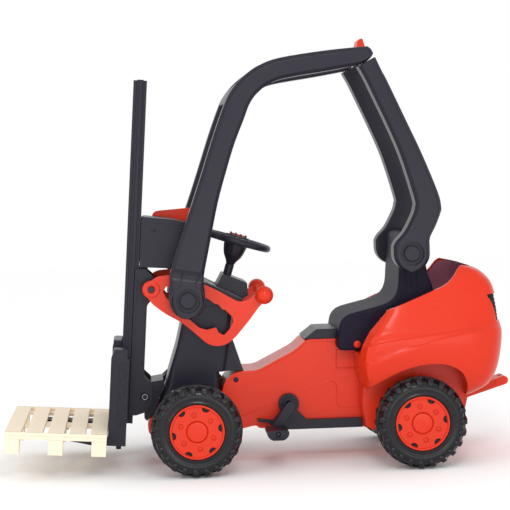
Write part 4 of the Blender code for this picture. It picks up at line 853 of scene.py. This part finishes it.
front_stations = foot_stations(*FRONT_BOSS, 0.0415, math.radians(80))
front_stations += list(zip(between(outer, 4), between(inner, 4)))
rear_stations = foot_stations(*REAR_BOSS, 0.042, math.radians(86))
rear_stations += list(zip(between(front_edge, 4), between(back_edge, 4)))
for name, side in SIDES:
    for end, stations, (x, z) in (("front_hoop", front_stations, FRONT_BOSS),
                                  ("rear_post", rear_stations, REAR_BOSS)):
        well = rod_y(x, z, 0.0275, *sorted((side * (GUARD_HALF - 0.0079), side * (GUARD_HALF + 0.01))),
                     segments=72)
        cuts = [well]
        if end == "front_hoop":  # a shallow cove lies across the leg just above its boss
            across = shifted(x + 0.0095, side * (GUARD_HALF + 0.0266), z + 0.054)
            cuts.append(placed(rod(0.03, -0.08, 0.08, 160),
                               across @ Matrix.Rotation(math.radians(100), 4, "Y")))
        piece(f"{end}_{name}", carved(bar(stations, side), cut=cuts), BLACK, "chassis", flat=False,
              sharp=34)
        lip = turned([(0.0276, -0.0012), (0.029, 0.0002), (0.0316, 0.0008), (0.033, 0.0), (0.033, -0.002),
                      (0.0276, -0.002)])
        piece(f"{end}_ring_{name}", lip, BLACK, "chassis",
              place=TOY @ about_y(x, side * (GUARD_HALF - 0.0008), z, side), flat=False, sharp=60)
    shoulder = [(-0.0215, 0.456), *arc(*FRONT_BOSS, 0.0372, 115, 425, 31), (0.0165, 0.448)]
    shoulder = softened(shoulder, 0.012, closed=False)
    shoulder = tube([(x, side * (GUARD_HALF - 0.0012), z) for x, z in shoulder], 0.0016)
    piece(f"hoop_shoulder_{name}", shoulder, BLACK, "chassis", flat=False)
    for end, (x, z) in (("front", FRONT_BOSS), ("rear", REAR_BOSS)):
        cap = turned([(0, 0.0), (0.019, 0.0), (0.019, 0.004), (0.0182, 0.0058), (0.0166, 0.0066),
                      (0.0148, 0.0068), (0.014, 0.0062), (0.006, 0.0066), (0, 0.0068)])
        piece(f"guard_cap_{end}_{name}", cap, BLACK, "chassis",
              place=TOY @ about_y(x, side * 0.1575, z, side), flat=False, sharp=45)
front_bar = [(0.086, 0.842), (0.121, 0.826), (0.15, 0.862), (0.172, 0.878), (0.16, 0.912), (0.132, 0.896),
             (0.104, 0.871)]
piece("roof_front_bar", plate(softened(front_bar, 0.008), -BETWEEN_BARS, BETWEEN_BARS), BLACK, "chassis",
      edge=0.0015, rounds=3)
rear_bar = [(0.384, 0.925), (0.412, 0.93), (0.42, 0.94), (0.416, 0.952), (0.388, 0.95)]
rear_bar = plate(softened(rear_bar, 0.004), -BETWEEN_BARS, BETWEEN_BARS)
hump = [(0.402, 0.94), (0.418, 0.94), (0.426, 0.966), (0.421, 0.985), (0.415, 0.985), (0.409, 0.981)]
piece("roof_rear_bar", carved(rear_bar, join=[plate(softened(hump, 0.004), -0.028, 0.028)]), RED,
      "chassis", edge=0.0018, rounds=3)

# ---- Counterweight, vent and tow hitch ------------------------------------------------------
# The hollow red counterweight is one blow moulding round the rear axle, open on top as a bin.
# A crease runs back along each side, with a second one below it that fades into the corner.
COVER_LEVELS = [
    (0.155, 0.409, 0.652, 0.165), (0.172, 0.396, 0.684, 0.18), (0.192, 0.386, 0.7, 0.19),
    (0.222, 0.379, 0.711, 0.199), (0.264, 0.379, 0.718, 0.205), (0.3, 0.395, 0.72, 0.2045),
    (0.322, 0.41, 0.715, 0.198), (0.353, 0.434, 0.712, 0.19), (0.386, 0.45, 0.707, 0.182),
    (0.412, 0.47, 0.698, 0.175), (0.43, 0.49, 0.684, 0.168), (0.444, 0.52, 0.664, 0.16),
    (0.455, 0.56, 0.63, 0.15),
]
BACK_POWER, FRONT_POWER = 0.42, 0.16
UPPER_CREASE = [(0.37, 0.2735), (0.386, 0.2768), (0.462, 0.29), (0.558, 0.3003), (0.669, 0.3124),
                (0.72, 0.318)]
LOWER_CREASE = [(0.37, 0.23), (0.385, 0.2358), (0.466, 0.2648), (0.535, 0.2851), (0.6, 0.299),
                (0.72, 0.315)]


def height_on(line, x):
    for (ax, az), (bx, bz) in zip(line, line[1:]):
        if x <= bx:
            return az + (bz - az) * max(0.0, (x - ax) / (bx - ax))
    return line[-1][1]


def eased(t):
    t = min(1.0, max(0.0, t))
    return t * t * (3 - 2 * t)


def quarter(power, knee, straight, curved):
    """Angles from the middle of a side to the middle of an end, in even steps along both."""
    turn = math.acos(knee ** (1 / power))
    side = [math.acos((knee * k / straight) ** (1 / power)) for k in range(straight)]
    end = [math.asin(math.sin(turn) * (1 - k / curved) ** (1 / power)) for k in range(curved + 1)]
    return side + end


to_back, to_front = quarter(BACK_POWER, 0.86, 24, 16), quarter(FRONT_POWER, 0.93, 16, 10)
PLAN_ANGLES = [*reversed(to_back), *(math.pi - a for a in to_front[1:]),
               *(math.pi + a for a in to_front[-2::-1]),
               *(math.tau - a for a in to_back[1:-1])]


def plan_ring(front, back, half, z, creased=False):
    middle, reach = (front + back) / 2, (back - front) / 2
    ring = []
    for a in PLAN_ANGLES:
        power = BACK_POWER if math.cos(a) > 0 else FRONT_POWER
        x = middle + reach * math.copysign(abs(math.cos(a)) ** power, math.cos(a))
        y = half * math.copysign(abs(math.sin(a)) ** power, math.sin(a))
        if creased:
            on_side = eased((abs(math.sin(a)) - 0.1) / 0.3) * eased((0.705 - x) / 0.05)
            past_upper, past_lower = z - height_on(UPPER_CREASE, x), z - height_on(LOWER_CREASE, x)
            above, band = eased(past_upper / 0.0045), eased(past_lower / 0.0035)
            lean = min(1.0, max(0.0, past_upper / 0.1))
            y *= 1 - (0.02 * above + 0.02 * band + 0.03 * lean) * on_side
        ring.append((x, y, z))
    return ring


fine_levels = between(COVER_LEVELS, 13)
cover = stack([plan_ring(f, b, h, z, creased=True) for z, f, b, h in fine_levels])
skirt = plate(softened([(0.391, 0.18), (0.387, 0.139), (0.395, 0.086), (0.41, 0.077), (0.602, 0.077),
                        (0.622, 0.1), (0.64, 0.175), (0.64, 0.2), (0.391, 0.2)], 0.006), -0.13, 0.13)
ARCH = [(0.376, 0.15), (0.3997, 0.1828), (0.4368, 0.2054), (0.4762, 0.2233), (0.5177, 0.2332),
        (0.5544, 0.2342), (0.5819, 0.2286),
        (0.607, 0.2139), (0.6204, 0.1905), (0.6245, 0.1674), (0.625, 0.15)]
arches = [plate([(0.625, 0.05), (0.376, 0.05), *between(ARCH, 6)], *sorted((side * 0.1296, side * 0.3)))
          for side in (-1, 1)]
rim_line = [(0.3, 0.3), (0.434, 0.353), (0.55, 0.398), (0.58, 0.411), (0.599, 0.427), (0.613, 0.446),
            (0.627, 0.4545), (0.66, 0.4545), (0.8, 0.4545)]
BIN_LEVELS = [(0.285, 0.706, 0.186), (0.322, 0.705, 0.188), (0.386, 0.697, 0.172), (0.44, 0.668, 0.155),
              (0.5, 0.64, 0.14)]
BIN_SHADE_LEVELS = [(0.2862, 0.706, 0.186), *BIN_LEVELS[1:]]


def bin_form(front, inset, up=0.0, levels=BIN_LEVELS):
    """The form of the bin's inside, its back and side walls moved in by inset."""
    fine = between(levels, 4)
    return stack([plan_ring(front, back - inset, half - inset, z + up) for z, back, half in fine])


def above_rim():
    """All that lies above the bin's rim."""
    return plate([*between(rim_line, 5), (0.8, 0.6), (0.3, 0.6)], -0.3, 0.3)


BESIDE = 0.11
cover_cuts = [
    *arches, above_rim(), bin_form(0.444, 0.01), block((0.3, 0.458), (-0.0654, 0.0654), (0.05, 0.3)),
    block((0.3, 0.444), (-BESIDE, BESIDE), (0.2575, 0.6)),
    block((0.434, 0.45), (-BESIDE, BESIDE), (0.285, 0.6)),
    block((0.3, 0.434), (-0.165, 0.165), (0.2575, 0.6)),
    block((0.29, 0.45), (-0.165, 0.165), (0.335, 0.6)),
    block((0.405, 0.6), (-0.124, 0.124), (0.05, 0.255)), rod_y(REAR_X, WHEEL_R, 0.007, -0.2, 0.2),
    block((0.636, 0.76), (-0.0244, 0.0244), (0.05, 0.186)),
]


def back_band(half, low, high, outward, inward, count=40):
    """A band that follows the counterweight's back between two depths under its surface."""
    rings = []
    for z in (low, high):
        below, top = next((a, b) for a, b in zip(COVER_LEVELS, COVER_LEVELS[1:]) if a[0] <= z <= b[0])
        share = (z - below[0]) / (top[0] - below[0])
        _, front, back, wide = (a + (b - a) * share for a, b in zip(below, top))
        curve = []
        for k in range(count + 1):
            y = half * (2 * k / count - 1)
            bulge = (1 - (abs(y) / wide) ** (2 / BACK_POWER)) ** (BACK_POWER / 2)
            curve.append(((front + back) / 2 + (back - front) / 2 * bulge, y))
        ring = [(x - outward, y, z) for x, y in curve]
        rings.append(ring + [(x - inward, y, z) for x, y in reversed(curve)])
    return stack(rings)


cover_cuts.append(back_band(0.1654, 0.3216, 0.3864, -0.02, 0.0074))
piece("rear_cover", carved(cover, cut=cover_cuts, join=[skirt]), RED, "chassis", flat=False, sharp=34)
# painted shade and reflection: a thin mauve skin over the bin's inside walls stands in for the red walls
# seen in shadow
BIN_SHADE = moulded("bin_painted_shade", (0.52, 0.2, 0.27), (0.42, 0.16, 0.23), 0.5, gloss=0.2)
outside = bin_form(0.4504, 0.0102, 0.0, BIN_SHADE_LEVELS)
inside = bin_form(0.4514, 0.0112, 0.001, BIN_SHADE_LEVELS)
lowered = placed(above_rim(), shifted(z=-0.007))
piece("bin_painted_shade", carved(outside, cut=[inside, lowered]), BIN_SHADE, "chassis", flat=False)
VENT_BLACK = moulded("vent_black", (0.006, 0.005, 0.007), (0.01, 0.009, 0.012), 0.6, grain=0.2, gloss=0.1)
backing = back_band(0.165, 0.322, 0.386, 0.0058, 0.007)
slats = [back_band(0.1645, z, z + 0.0052, 0.0032, 0.006) for z in [0.325 + 0.0088 * k for k in range(7)]]
piece("rear_vent", together(backing, *slats), VENT_BLACK, "chassis", edge=0.0005)
SLOPE, HITCH_TIP, HITCH_ROOT = 16.8, (0.744, 0.166), 0.6405


def on_slope(x):
    return HITCH_TIP[1] - (HITCH_TIP[0] - x) * math.tan(math.radians(SLOPE))


nose = arc(*HITCH_TIP, 0.01, SLOPE - 90, SLOPE + 90, 24)
low = on_slope(HITCH_ROOT)
tongue = plate([(HITCH_ROOT, low - 0.011), *nose, (HITCH_ROOT, low + 0.011)], -0.024, 0.024)
eye_hole = placed(rod(0.006, 0.05, 0.3, 40), shifted(0.738))
dent = [(0.668, 0.0055), (0.668, -0.0035), (0.724, -0.0035), (0.724, 0.0055)]  # height above the slope
dent = [(x, on_slope(x) + up) for x, up in dent]
dents = [plate(dent, *sorted((side * 0.0225, side * 0.03))) for side in (-1, 1)]
piece("tow_hitch", carved(tongue, cut=[eye_hole, *dents]), RED, "chassis", edge=0.0014, rounds=3)

# ---- Seat, its rail and pin -----------------------------------------------------------------
# A one-piece black blow-moulded seat: a bowed L with wide soft edges and ribs down its flanks.
# It hooks over a black wedge on the body and is held by a red pin pushed through its skirt.
SEAT_HALF = 0.108
SEAT_OUTLINE = [
    (0.334, 0.272), (0.34, 0.263), (0.347, 0.26), (0.43, 0.26), (0.442, 0.2665), (0.442, 0.2875),
    (0.56, 0.2875), (0.572, 0.3), (0.565, 0.39), (0.548, 0.445), (0.541, 0.515), (0.53, 0.53),
    (0.5, 0.53), (0.488, 0.518), (0.483, 0.445), (0.48, 0.403), (0.472, 0.382), (0.456, 0.369),
    (0.43, 0.361), (0.369, 0.347), (0.354, 0.34), (0.344, 0.328), (0.34, 0.315),
]


def shrunk(outline, amount):
    """The outline moved inwards by amount, corner by corner; it runs anticlockwise."""
    moved = []
    for i, corner in enumerate(outline):
        before, here = Vector(outline[i - 1]), Vector(corner)
        after = Vector(outline[(i + 1) % len(outline)])
        first, second = (here - before).normalized(), (after - here).normalized()
        one, two = Vector((-first.y, first.x)), Vector((-second.y, second.x))
        half = (one + two).normalized()
        moved.append(tuple(here + half * (amount / max(0.4, half.dot(one)))))
    return moved


SEAT_BLACK = moulded("seat_black", (0.012, 0.009, 0.02), (0.018, 0.014, 0.028), 0.5, grain=0.22,
                     gloss=0.08, grain_scale=700.0)
soft_seat = softened(SEAT_OUTLINE, 0.014, 6)
rings = []
for share in (-1, 1):
    steps = [(0.0, 0.008), (0.001, 0.005), (0.0028, 0.0026), (0.0055, 0.0009), (0.0095, 0.0), (0.03, 0.0)]
    if share > 0:
        steps = steps[::-1]
    for inward, less in steps:
        rings.append([(x, share * (SEAT_HALF - inward), z) for x, z in shrunk(soft_seat, less)])
seat = stack(rings)
tunnel = block((0.3, 0.447), (-0.067, 0.067), (0.2, 0.3084))
PIN_X, PIN_Z = 0.381, 0.275
pin_hole = rod_y(PIN_X, PIN_Z, 0.0059, -0.2, 0.2)
flank_cuts = []
for side in (-1, 1):
    outside = sorted((side * (SEAT_HALF - 0.0016), side * 0.13))
    flank_cuts.append(plate(softened([(0.356, 0.272), (0.425, 0.272), (0.428, 0.3), (0.456, 0.334),
                                      (0.38, 0.332), (0.362, 0.322), (0.353, 0.3)], 0.008), *outside))
    for k in range(3):
        x = 0.497 + 0.0125 * k
        flank_cuts.append(plate([(x, 0.4), (x + 0.0034, 0.4), (x - 0.001, 0.5), (x - 0.0038, 0.5)],
                                *outside))
piece("seat", carved(seat, cut=[tunnel, pin_hole, *flank_cuts]), SEAT_BLACK, "chassis", flat=False,
      sharp=36)
panel_edge = softened([(0.352, 0.335), (0.372, 0.3415), (0.43, 0.3548), (0.46, 0.364), (0.478, 0.379),
                       (0.4865, 0.402), (0.4895, 0.444), (0.493, 0.514)], 0.01, closed=False)
for name, side in SIDES:
    welt = tube([(x + 0.0035, side * (SEAT_HALF - 0.0006), z - 0.0035) for x, z in panel_edge], 0.001)
    piece(f"seat_welt_{name}", welt, SEAT_BLACK, "chassis", flat=False)
rail = [(0.262, 0.2854), (0.345, 0.2854), (0.44, 0.2658), (0.44, 0.308), (0.292, 0.308)]
piece("seat_rail", plate(softened(rail, 0.002), -0.058, 0.058), BLACK, "chassis", edge=0.0014, rounds=3)
red_pin = turned([(0, 0.0), (0.0055, 0.0), (0.0055, 0.04), (0.0082, 0.0403), (0.0085, 0.0412),
                  (0.0084, 0.0428), (0.007, 0.0446), (0.004, 0.0457), (0, 0.046)], 40)
piece("seat_pin", red_pin, RED, "chassis", place=TOY @ about_y(PIN_X, -0.068, PIN_Z, -1), flat=False)

# ---- Mast -----------------------------------------------------------------------------------
# Two black channel rails stand on a hinge in front of the nose, joined by a head piece. Their
# grooves guide the carriage, and an outer rail plate stiffens each up to the lever shaft.
HINGE_X, HINGE_Z = -0.114, 0.164
MAST = TOY @ shifted(HINGE_X, 0, HINGE_Z) @ Matrix.Rotation(math.radians(4.2), 4, "Y")
MAST_FOOT, MAST_TOP = -0.065, 0.733
RAIL_FRONT, RAIL_BACK, RAIL_INNER, RAIL_OUTER = -0.057, -0.026, 0.03, 0.056
SHAFT = (0.0037, 0.2542)  # the lever shaft, from the hinge


def mast_column():
    groove = (RAIL_FRONT + 0.007, RAIL_FRONT + 0.02)
    web = RAIL_INNER + 0.009
    plan = [
        (RAIL_FRONT, RAIL_INNER), (groove[0], RAIL_INNER), (groove[0], web), (groove[1], web),
        (groove[1], RAIL_INNER), (RAIL_BACK, RAIL_INNER), (RAIL_BACK, RAIL_OUTER),
        (RAIL_BACK - 0.006, RAIL_OUTER), (RAIL_BACK - 0.006, RAIL_OUTER - 0.002),
        (groove[1] + 0.001, RAIL_OUTER - 0.002), (groove[1] + 0.001, RAIL_OUTER),
        (groove[1] - 0.007, RAIL_OUTER), (groove[1] - 0.007, RAIL_OUTER - 0.002),
        (groove[0], RAIL_OUTER - 0.002), (groove[0], RAIL_OUTER), (RAIL_FRONT, RAIL_OUTER),
    ]
    return stack([[(x, y, z) for x, y in plan] for z in (MAST_FOOT, MAST_TOP)])


for name, side in SIDES:
    shape = mast_column()
    if side < 0:
        placed(shape, Matrix.Diagonal((1, -1, 1, 1)))
    piece(f"inner_rail_{name}", shape, BLACK, "mast", place=MAST, edge=0.0008)
    plug = block((RAIL_FRONT + 0.0085, RAIL_BACK - 0.0075), sorted((side * 0.0405, side * 0.0525)),
                 (MAST_TOP - 0.0004, MAST_TOP + 0.0018))
    piece(f"rail_plug_{name}", plug, BLACK, "mast", place=MAST, edge=0.0006)
    outline = [
        (-0.035, 0.298), (-0.035, -0.0435), (-0.02, -0.045), (0.001, -0.037), (0.018, -0.016),
        (0.017, 0.013), (0.0145, 0.034), (-0.003, 0.048), (-0.004, 0.06), (-0.004, 0.2142),
        (0.0167, 0.2402), (0.0167, 0.2662), (0.0075, 0.281), (-0.014, 0.298),
    ]
    cheek = plate(softened(outline, 0.005), *sorted((side * 0.0564, side * 0.064)),
                  [circle(0, 0, 0.0075), circle(*SHAFT, 0.0069)])
    web = block((-0.0256, -0.005), sorted((side * 0.03, side * 0.057)), (0.06, 0.296))
    raised = sorted((side * 0.0636, side * 0.0648))
    ribs = ((-0.03, -0.0285, -0.036, 0.288), (-0.0095, -0.008, 0.066, 0.205))
    ribs = [plate(oblong(*rib), *raised) for rib in ribs]
    piece(f"outer_rail_{name}", carved(cheek, join=[web]), BLACK, "mast", place=MAST, edge=0.0012)
    piece(f"outer_rail_ribs_{name}", together(*ribs), BLACK, "mast", place=MAST, edge=0.0003)
    ring = turned([(0.0066, -0.001), (0.0112, -0.001), (0.0112, 0.0006), (0.0103, 0.0012),
                   (0.0092, 0.0004), (0.0066, 0.0004)])
    dome = turned([(0, 0), (0.0066, 0), (0.0066, 0.0012), (0.0056, 0.0019), (0, 0.0021)], 40)
    head = together(ring, dome)
    piece(f"hinge_cap_{name}", head, BLACK, "mast", place=MAST @ about_y(0, side * 0.0641, 0, side),
          flat=False, sharp=50)
head = together(block((RAIL_FRONT + 0.002, RAIL_BACK - 0.002), (-0.0296, 0.0296),
                      (MAST_TOP - 0.03, MAST_TOP - 0.016)),
                block((RAIL_BACK - 0.012, RAIL_BACK - 0.002), (-0.0296, 0.0296),
                      (MAST_TOP - 0.08, MAST_TOP - 0.0298)))
piece("mast_head", head, BLACK, "mast", place=MAST, edge=0.001)
piece("hinge_pin", pin(0.0065, 0.066, 0.0003), STEEL, "mast", place=MAST @ about_y(), flat=False)
bracket = [
    (-0.082, 0.1508), (-0.0895, 0.1292), (-0.1105, 0.1055), (-0.1165, 0.112),
    *arc(HINGE_X, HINGE_Z, 0.0185, -95, -270, 24), (-0.098, 0.197), (-0.07, 0.201), (-0.068, 0.19),
    (-0.08, 0.158), (-0.0815, 0.1508),
]
recess = softened([(-0.093, 0.185), (-0.088, 0.162), (-0.083, 0.164), (-0.076, 0.186)], 0.003)
sunk = [plate(recess, *sorted((side * 0.0515, side * 0.07))) for side in (-1, 1)]
bracket = plate(bracket, -0.0534, 0.0534, [circle(HINGE_X, HINGE_Z, 0.0075)])
piece("mast_bracket", carved(bracket, cut=sunk), BLACK, "chassis", edge=0.0012)

# ---- Winch ----------------------------------------------------------------------------------
# A black box behind the rails holds a steel drum for the lifting cord. Its lid is screwed on with
# two small screws, and a flat red handle with a stub grip turns the drum from the right.
WINCH_X, WINCH_Z = 0.022, 0.372
box_line = softened([(-0.0256, 0.302), (0.06, 0.302), (0.088, 0.322), (0.088, 0.409), (0.045, 0.416),
                     (-0.0256, 0.419)], 0.008)
hollow = block((-0.0356, 0.084), (-0.056, 0.06), (0.306, 0.405))
bearing = rod_y(WINCH_X, WINCH_Z, 0.007, -0.06, 0.1)
lid_groove = [plate([(-0.03, 0.406), (0.1, 0.4), (0.1, 0.4009), (-0.03, 0.4069)],
                    *sorted((s * 0.063, s * 0.08))) for s in (-1, 1)]
piece("winch_box", carved(plate(box_line, -0.064, 0.064), cut=[hollow, bearing, *lid_groove]), BLACK,
      "mast", place=MAST, edge=0.0014)
screw = turned([(0, -0.001), (0.0042, -0.001), (0.0042, 0.0006), (0.0032, 0.0014), (0, 0.0016)], 28)
seating = turned([(0.0048, -0.001), (0.0062, -0.001), (0.0058, 0.0004), (0.005, 0.0004)], 28)
screws = repeated(together(screw, seating), 2, step=(0.062, 0, 0))
piece("lid_screws", screws, BLACK, "mast", place=MAST @ about_y(0.004, -0.064, 0.39, -1), flat=False,
      sharp=50)
drum = turned([(0, -0.059), (0.006, -0.059), (0.006, -0.03), (0.026, -0.03), (0.026, -0.026),
               (0.018, -0.026), (0.018, 0.026),
               (0.026, 0.026), (0.026, 0.03), (0.006, 0.03), (0.006, 0.074), (0, 0.074)])
piece("winch_drum", drum, STEEL, "winch", place=MAST @ about_y(WINCH_X, 0, WINCH_Z), flat=False)
rise = math.radians(30)
end_x, end_z = WINCH_X + 0.083 * math.cos(rise), WINCH_Z + 0.083 * math.sin(rise)
handle = [(0.002, WINCH_Z - 0.022), (WINCH_X + 0.02, WINCH_Z - 0.024), (end_x + 0.006, end_z - 0.014),
          (end_x + 0.013, end_z), (end_x + 0.004, end_z + 0.029), (0.008, WINCH_Z + 0.058),
          (0.0, WINCH_Z + 0.05), (-0.002, WINCH_Z)]
grip = rod_y(end_x - 0.004, end_z + 0.004, 0.01, 0.0755, 0.096)
flat_handle = plate(softened(handle, 0.01), 0.066, 0.076, [circle(WINCH_X, WINCH_Z, 0.0064)])
piece("winch_handle", carved(flat_handle, join=[grip]), RED, "winch", place=MAST, edge=0.0018, rounds=3)

# ---- Tilt levers ----------------------------------------------------------------------------
# Two flat orange-red levers hang on one steel shaft through the mast. Each has a notched opening
# that passes over the guard's fixed stub, a thick eye round the shaft, and a ball knob behind.
EYE_MIDDLE = (-0.0917, 0.4172)
LEVER_IN, LEVER_OUT, KNOB_R = 0.098, 0.106, 0.021
lever_line = [
    *arc(*EYE_MIDDLE, 0.0205, 90, 245, 18), (-0.0897, 0.383), (-0.0605, 0.36), (-0.025, 0.3395),
    (-0.003, 0.3215), (0.017, 0.303), (0.033, 0.288), (0.053, 0.281), (0.076, 0.284), (0.093, 0.296),
    (0.106, 0.309), (0.135, 0.343), (0.156, 0.371), *arc(0.168, 0.396, 0.013, -70, 110, 10),
    (0.1455, 0.396), (0.129, 0.386), (0.11, 0.382), (0.094, 0.39), (0.068, 0.406), (0.029, 0.426),
    (-0.042, 0.4495), (-0.0745, 0.4475),
]
opening = [
    (-0.0655, 0.411), (-0.0575, 0.397), (-0.035, 0.373), (-0.002, 0.3415), (0.016, 0.3255),
    (0.033, 0.32), (0.0505, 0.324), (0.0545, 0.325), (0.06, 0.313), (0.072, 0.306), (0.085, 0.319),
    (0.095, 0.3375), (0.0925, 0.3485), (0.076, 0.366), (0.0715, 0.3655), (0.06, 0.379), (0.054, 0.3795),
    (0.0375, 0.392), (-0.043, 0.4215), (-0.0575, 0.4235),
]
for name, side in SIDES:
    low, high = sorted((side * LEVER_IN, side * LEVER_OUT))
    lever = plate(softened(lever_line, 0.01), low, high,
                  [softened(opening, 0.0028), circle(*EYE_MIDDLE, 0.0075)])
    eye_ring = placed(turned([(0.0088, -0.001), (0.0088, 0.0012), (0.01, 0.0026), (0.0165, 0.0028),
                              (0.019, 0.0018), (0.0198, -0.001)]),
                      about_y(EYE_MIDDLE[0], side * LEVER_OUT, EYE_MIDDLE[1], side))
    piece(f"lever_{name}", lever, RED, "levers", edge=0.0014, rounds=3)
    piece(f"lever_eye_{name}", eye_ring, RED, "levers", flat=False, sharp=50)
    ball = turned([(0, -KNOB_R), *arc(0, 0, KNOB_R, -84, 84, 28), (0, KNOB_R)], 56)
    place = TOY @ about_y(0.167, side * 0.116, 0.397, side)
    piece(f"lever_knob_{name}", ball, RED, "levers", place=place, flat=False)
BLUED = metal("blued_steel", (0.055, 0.055, 0.065), 0.42)
piece("lever_shaft", pin(0.0065, 0.109, 0.0005), BLUED, "levers",
      place=MAST @ about_y(SHAFT[0], 0, SHAFT[1]), flat=False)

# ---- Carriage and forks ---------------------------------------------------------------------
# A black carriage plate slides in the mast grooves and carries two hollow-backed fork shanks.
# Each shank has webs and slanting ribs on its sides and ends in a thin blade for the pallet.
rounded_node("carriage", BLACK, "carriage", 0.0012)
FORK_FRONT, FORK_BACK, FORK_HEEL = -0.081, -0.04, -0.103
FORK_Y, FORK_HALF, RIB_STEP = 0.125, 0.022, 0.037
blade = [
    (FORK_BACK, FORK_HEEL), (FORK_BACK, 0.096), (-0.044, 0.098), (-0.044, 0.118), (-0.074, 0.118),
    (FORK_FRONT, 0.096), (FORK_FRONT, -0.0885), (-0.249, -0.0885), (-0.253, -0.0905), (-0.249, -0.0935),
    (-0.181, -0.0925), (-0.118, FORK_HEEL),
]
for name, side in SIDES:
    middle = FORK_Y * side
    shape = plate(blade, middle - FORK_HALF, middle + FORK_HALF)
    cuts = []
    for s in (-1, 1):
        skin = sorted((middle + s * 0.0206, middle + s * 0.03))
        for k in range(4):
            top, bottom = 0.088 - RIB_STEP * k, 0.0535 - RIB_STEP * k
            cuts.append(plate([(-0.0615, bottom), (-0.0475, bottom), (-0.0615, top - 0.003)], *skin))
            cuts.append(plate([(-0.045, bottom + 0.002), (-0.045, top), (-0.059, top)], *skin))
        skin = sorted((middle + s * 0.0214, middle + s * 0.03))
        cuts.append(plate(oblong(-0.077, -0.0655, -0.052, 0.089), *skin))
    foot = placed(turned([(0, FORK_HEEL - 0.01), (0.0052, FORK_HEEL - 0.01), (0.006, FORK_HEEL - 0.009),
                          (0.006, FORK_HEEL + 0.002), (0, FORK_HEEL + 0.002)], 32),
                  shifted(-0.056, middle))
    piece(f"fork_{name}", carved(shape, cut=cuts, join=[foot]), BLACK, "carriage", place=MAST,
          edge=0.0008)

# ---- Pallet ---------------------------------------------------------------------------------
# A small cream pallet in the shape of a real one: five slats, closed at both ends by thin edge
# strips, on three boards and nine blocks, all of pale softwood with a faint straight grain.
def pale_wood():
    finish = Finish("pale_pallet", Specular_IOR_Level=0.35)
    along = finish.stretched((26.0, 1.6, 26.0))
    rings = finish.noise(5.0, 4.0, along)
    fibre = finish.noise(60.0, 3.0, finish.stretched((9.0, 0.7, 9.0)))
    share = finish.node("ShaderNodeMapRange", None, {"Value": rings, "From Min": 0.35, "From Max": 0.7})
    tone = finish.mix(share * 0.35, (0.86, 0.735, 0.565, 1), (0.8, 0.65, 0.47, 1))
    tone = finish.mix(fibre * 0.25, tone, (0.9, 0.8, 0.66, 1))
    return finish.feed(Base_Color=tone, Roughness=fibre * 0.2 + 0.5,
                       Normal=finish.bump(fibre + rings * 0.4, 0.25, 0.0005))


WOOD = pale_wood()
front, under, slat = -0.312, -0.087, 0.0365
slats = repeated(block((front, front + slat), (-0.19, 0.19), (under + 0.008, under + 0.016)), 5,
                 step=((0.229 - slat) / 4, 0, 0), finish=WOOD)
boards = repeated(block((front + 0.0002, -0.0832), (-0.19, -0.156), (under, under + 0.0079)), 3,
                  step=(0, 0.173, 0), finish=WOOD)
edges = [block((front + 0.0002, -0.0832), (y, y + 0.005), (under + 0.0081, under + 0.016))
         for y in (-0.1899, 0.1849)]
blocks = []
for y in (-0.19, -0.017, 0.156):
    blocks.append(repeated(block((front + 0.0004, front + 0.0336), (y + 0.0002, y + 0.0338),
                                 (-0.121, under - 0.0001)), 3, step=(0.0975, 0, 0), finish=WOOD))
piece("pallet", together(slats, boards, *edges, *blocks), WOOD, "pallet", place=MAST, edge=0.0007)
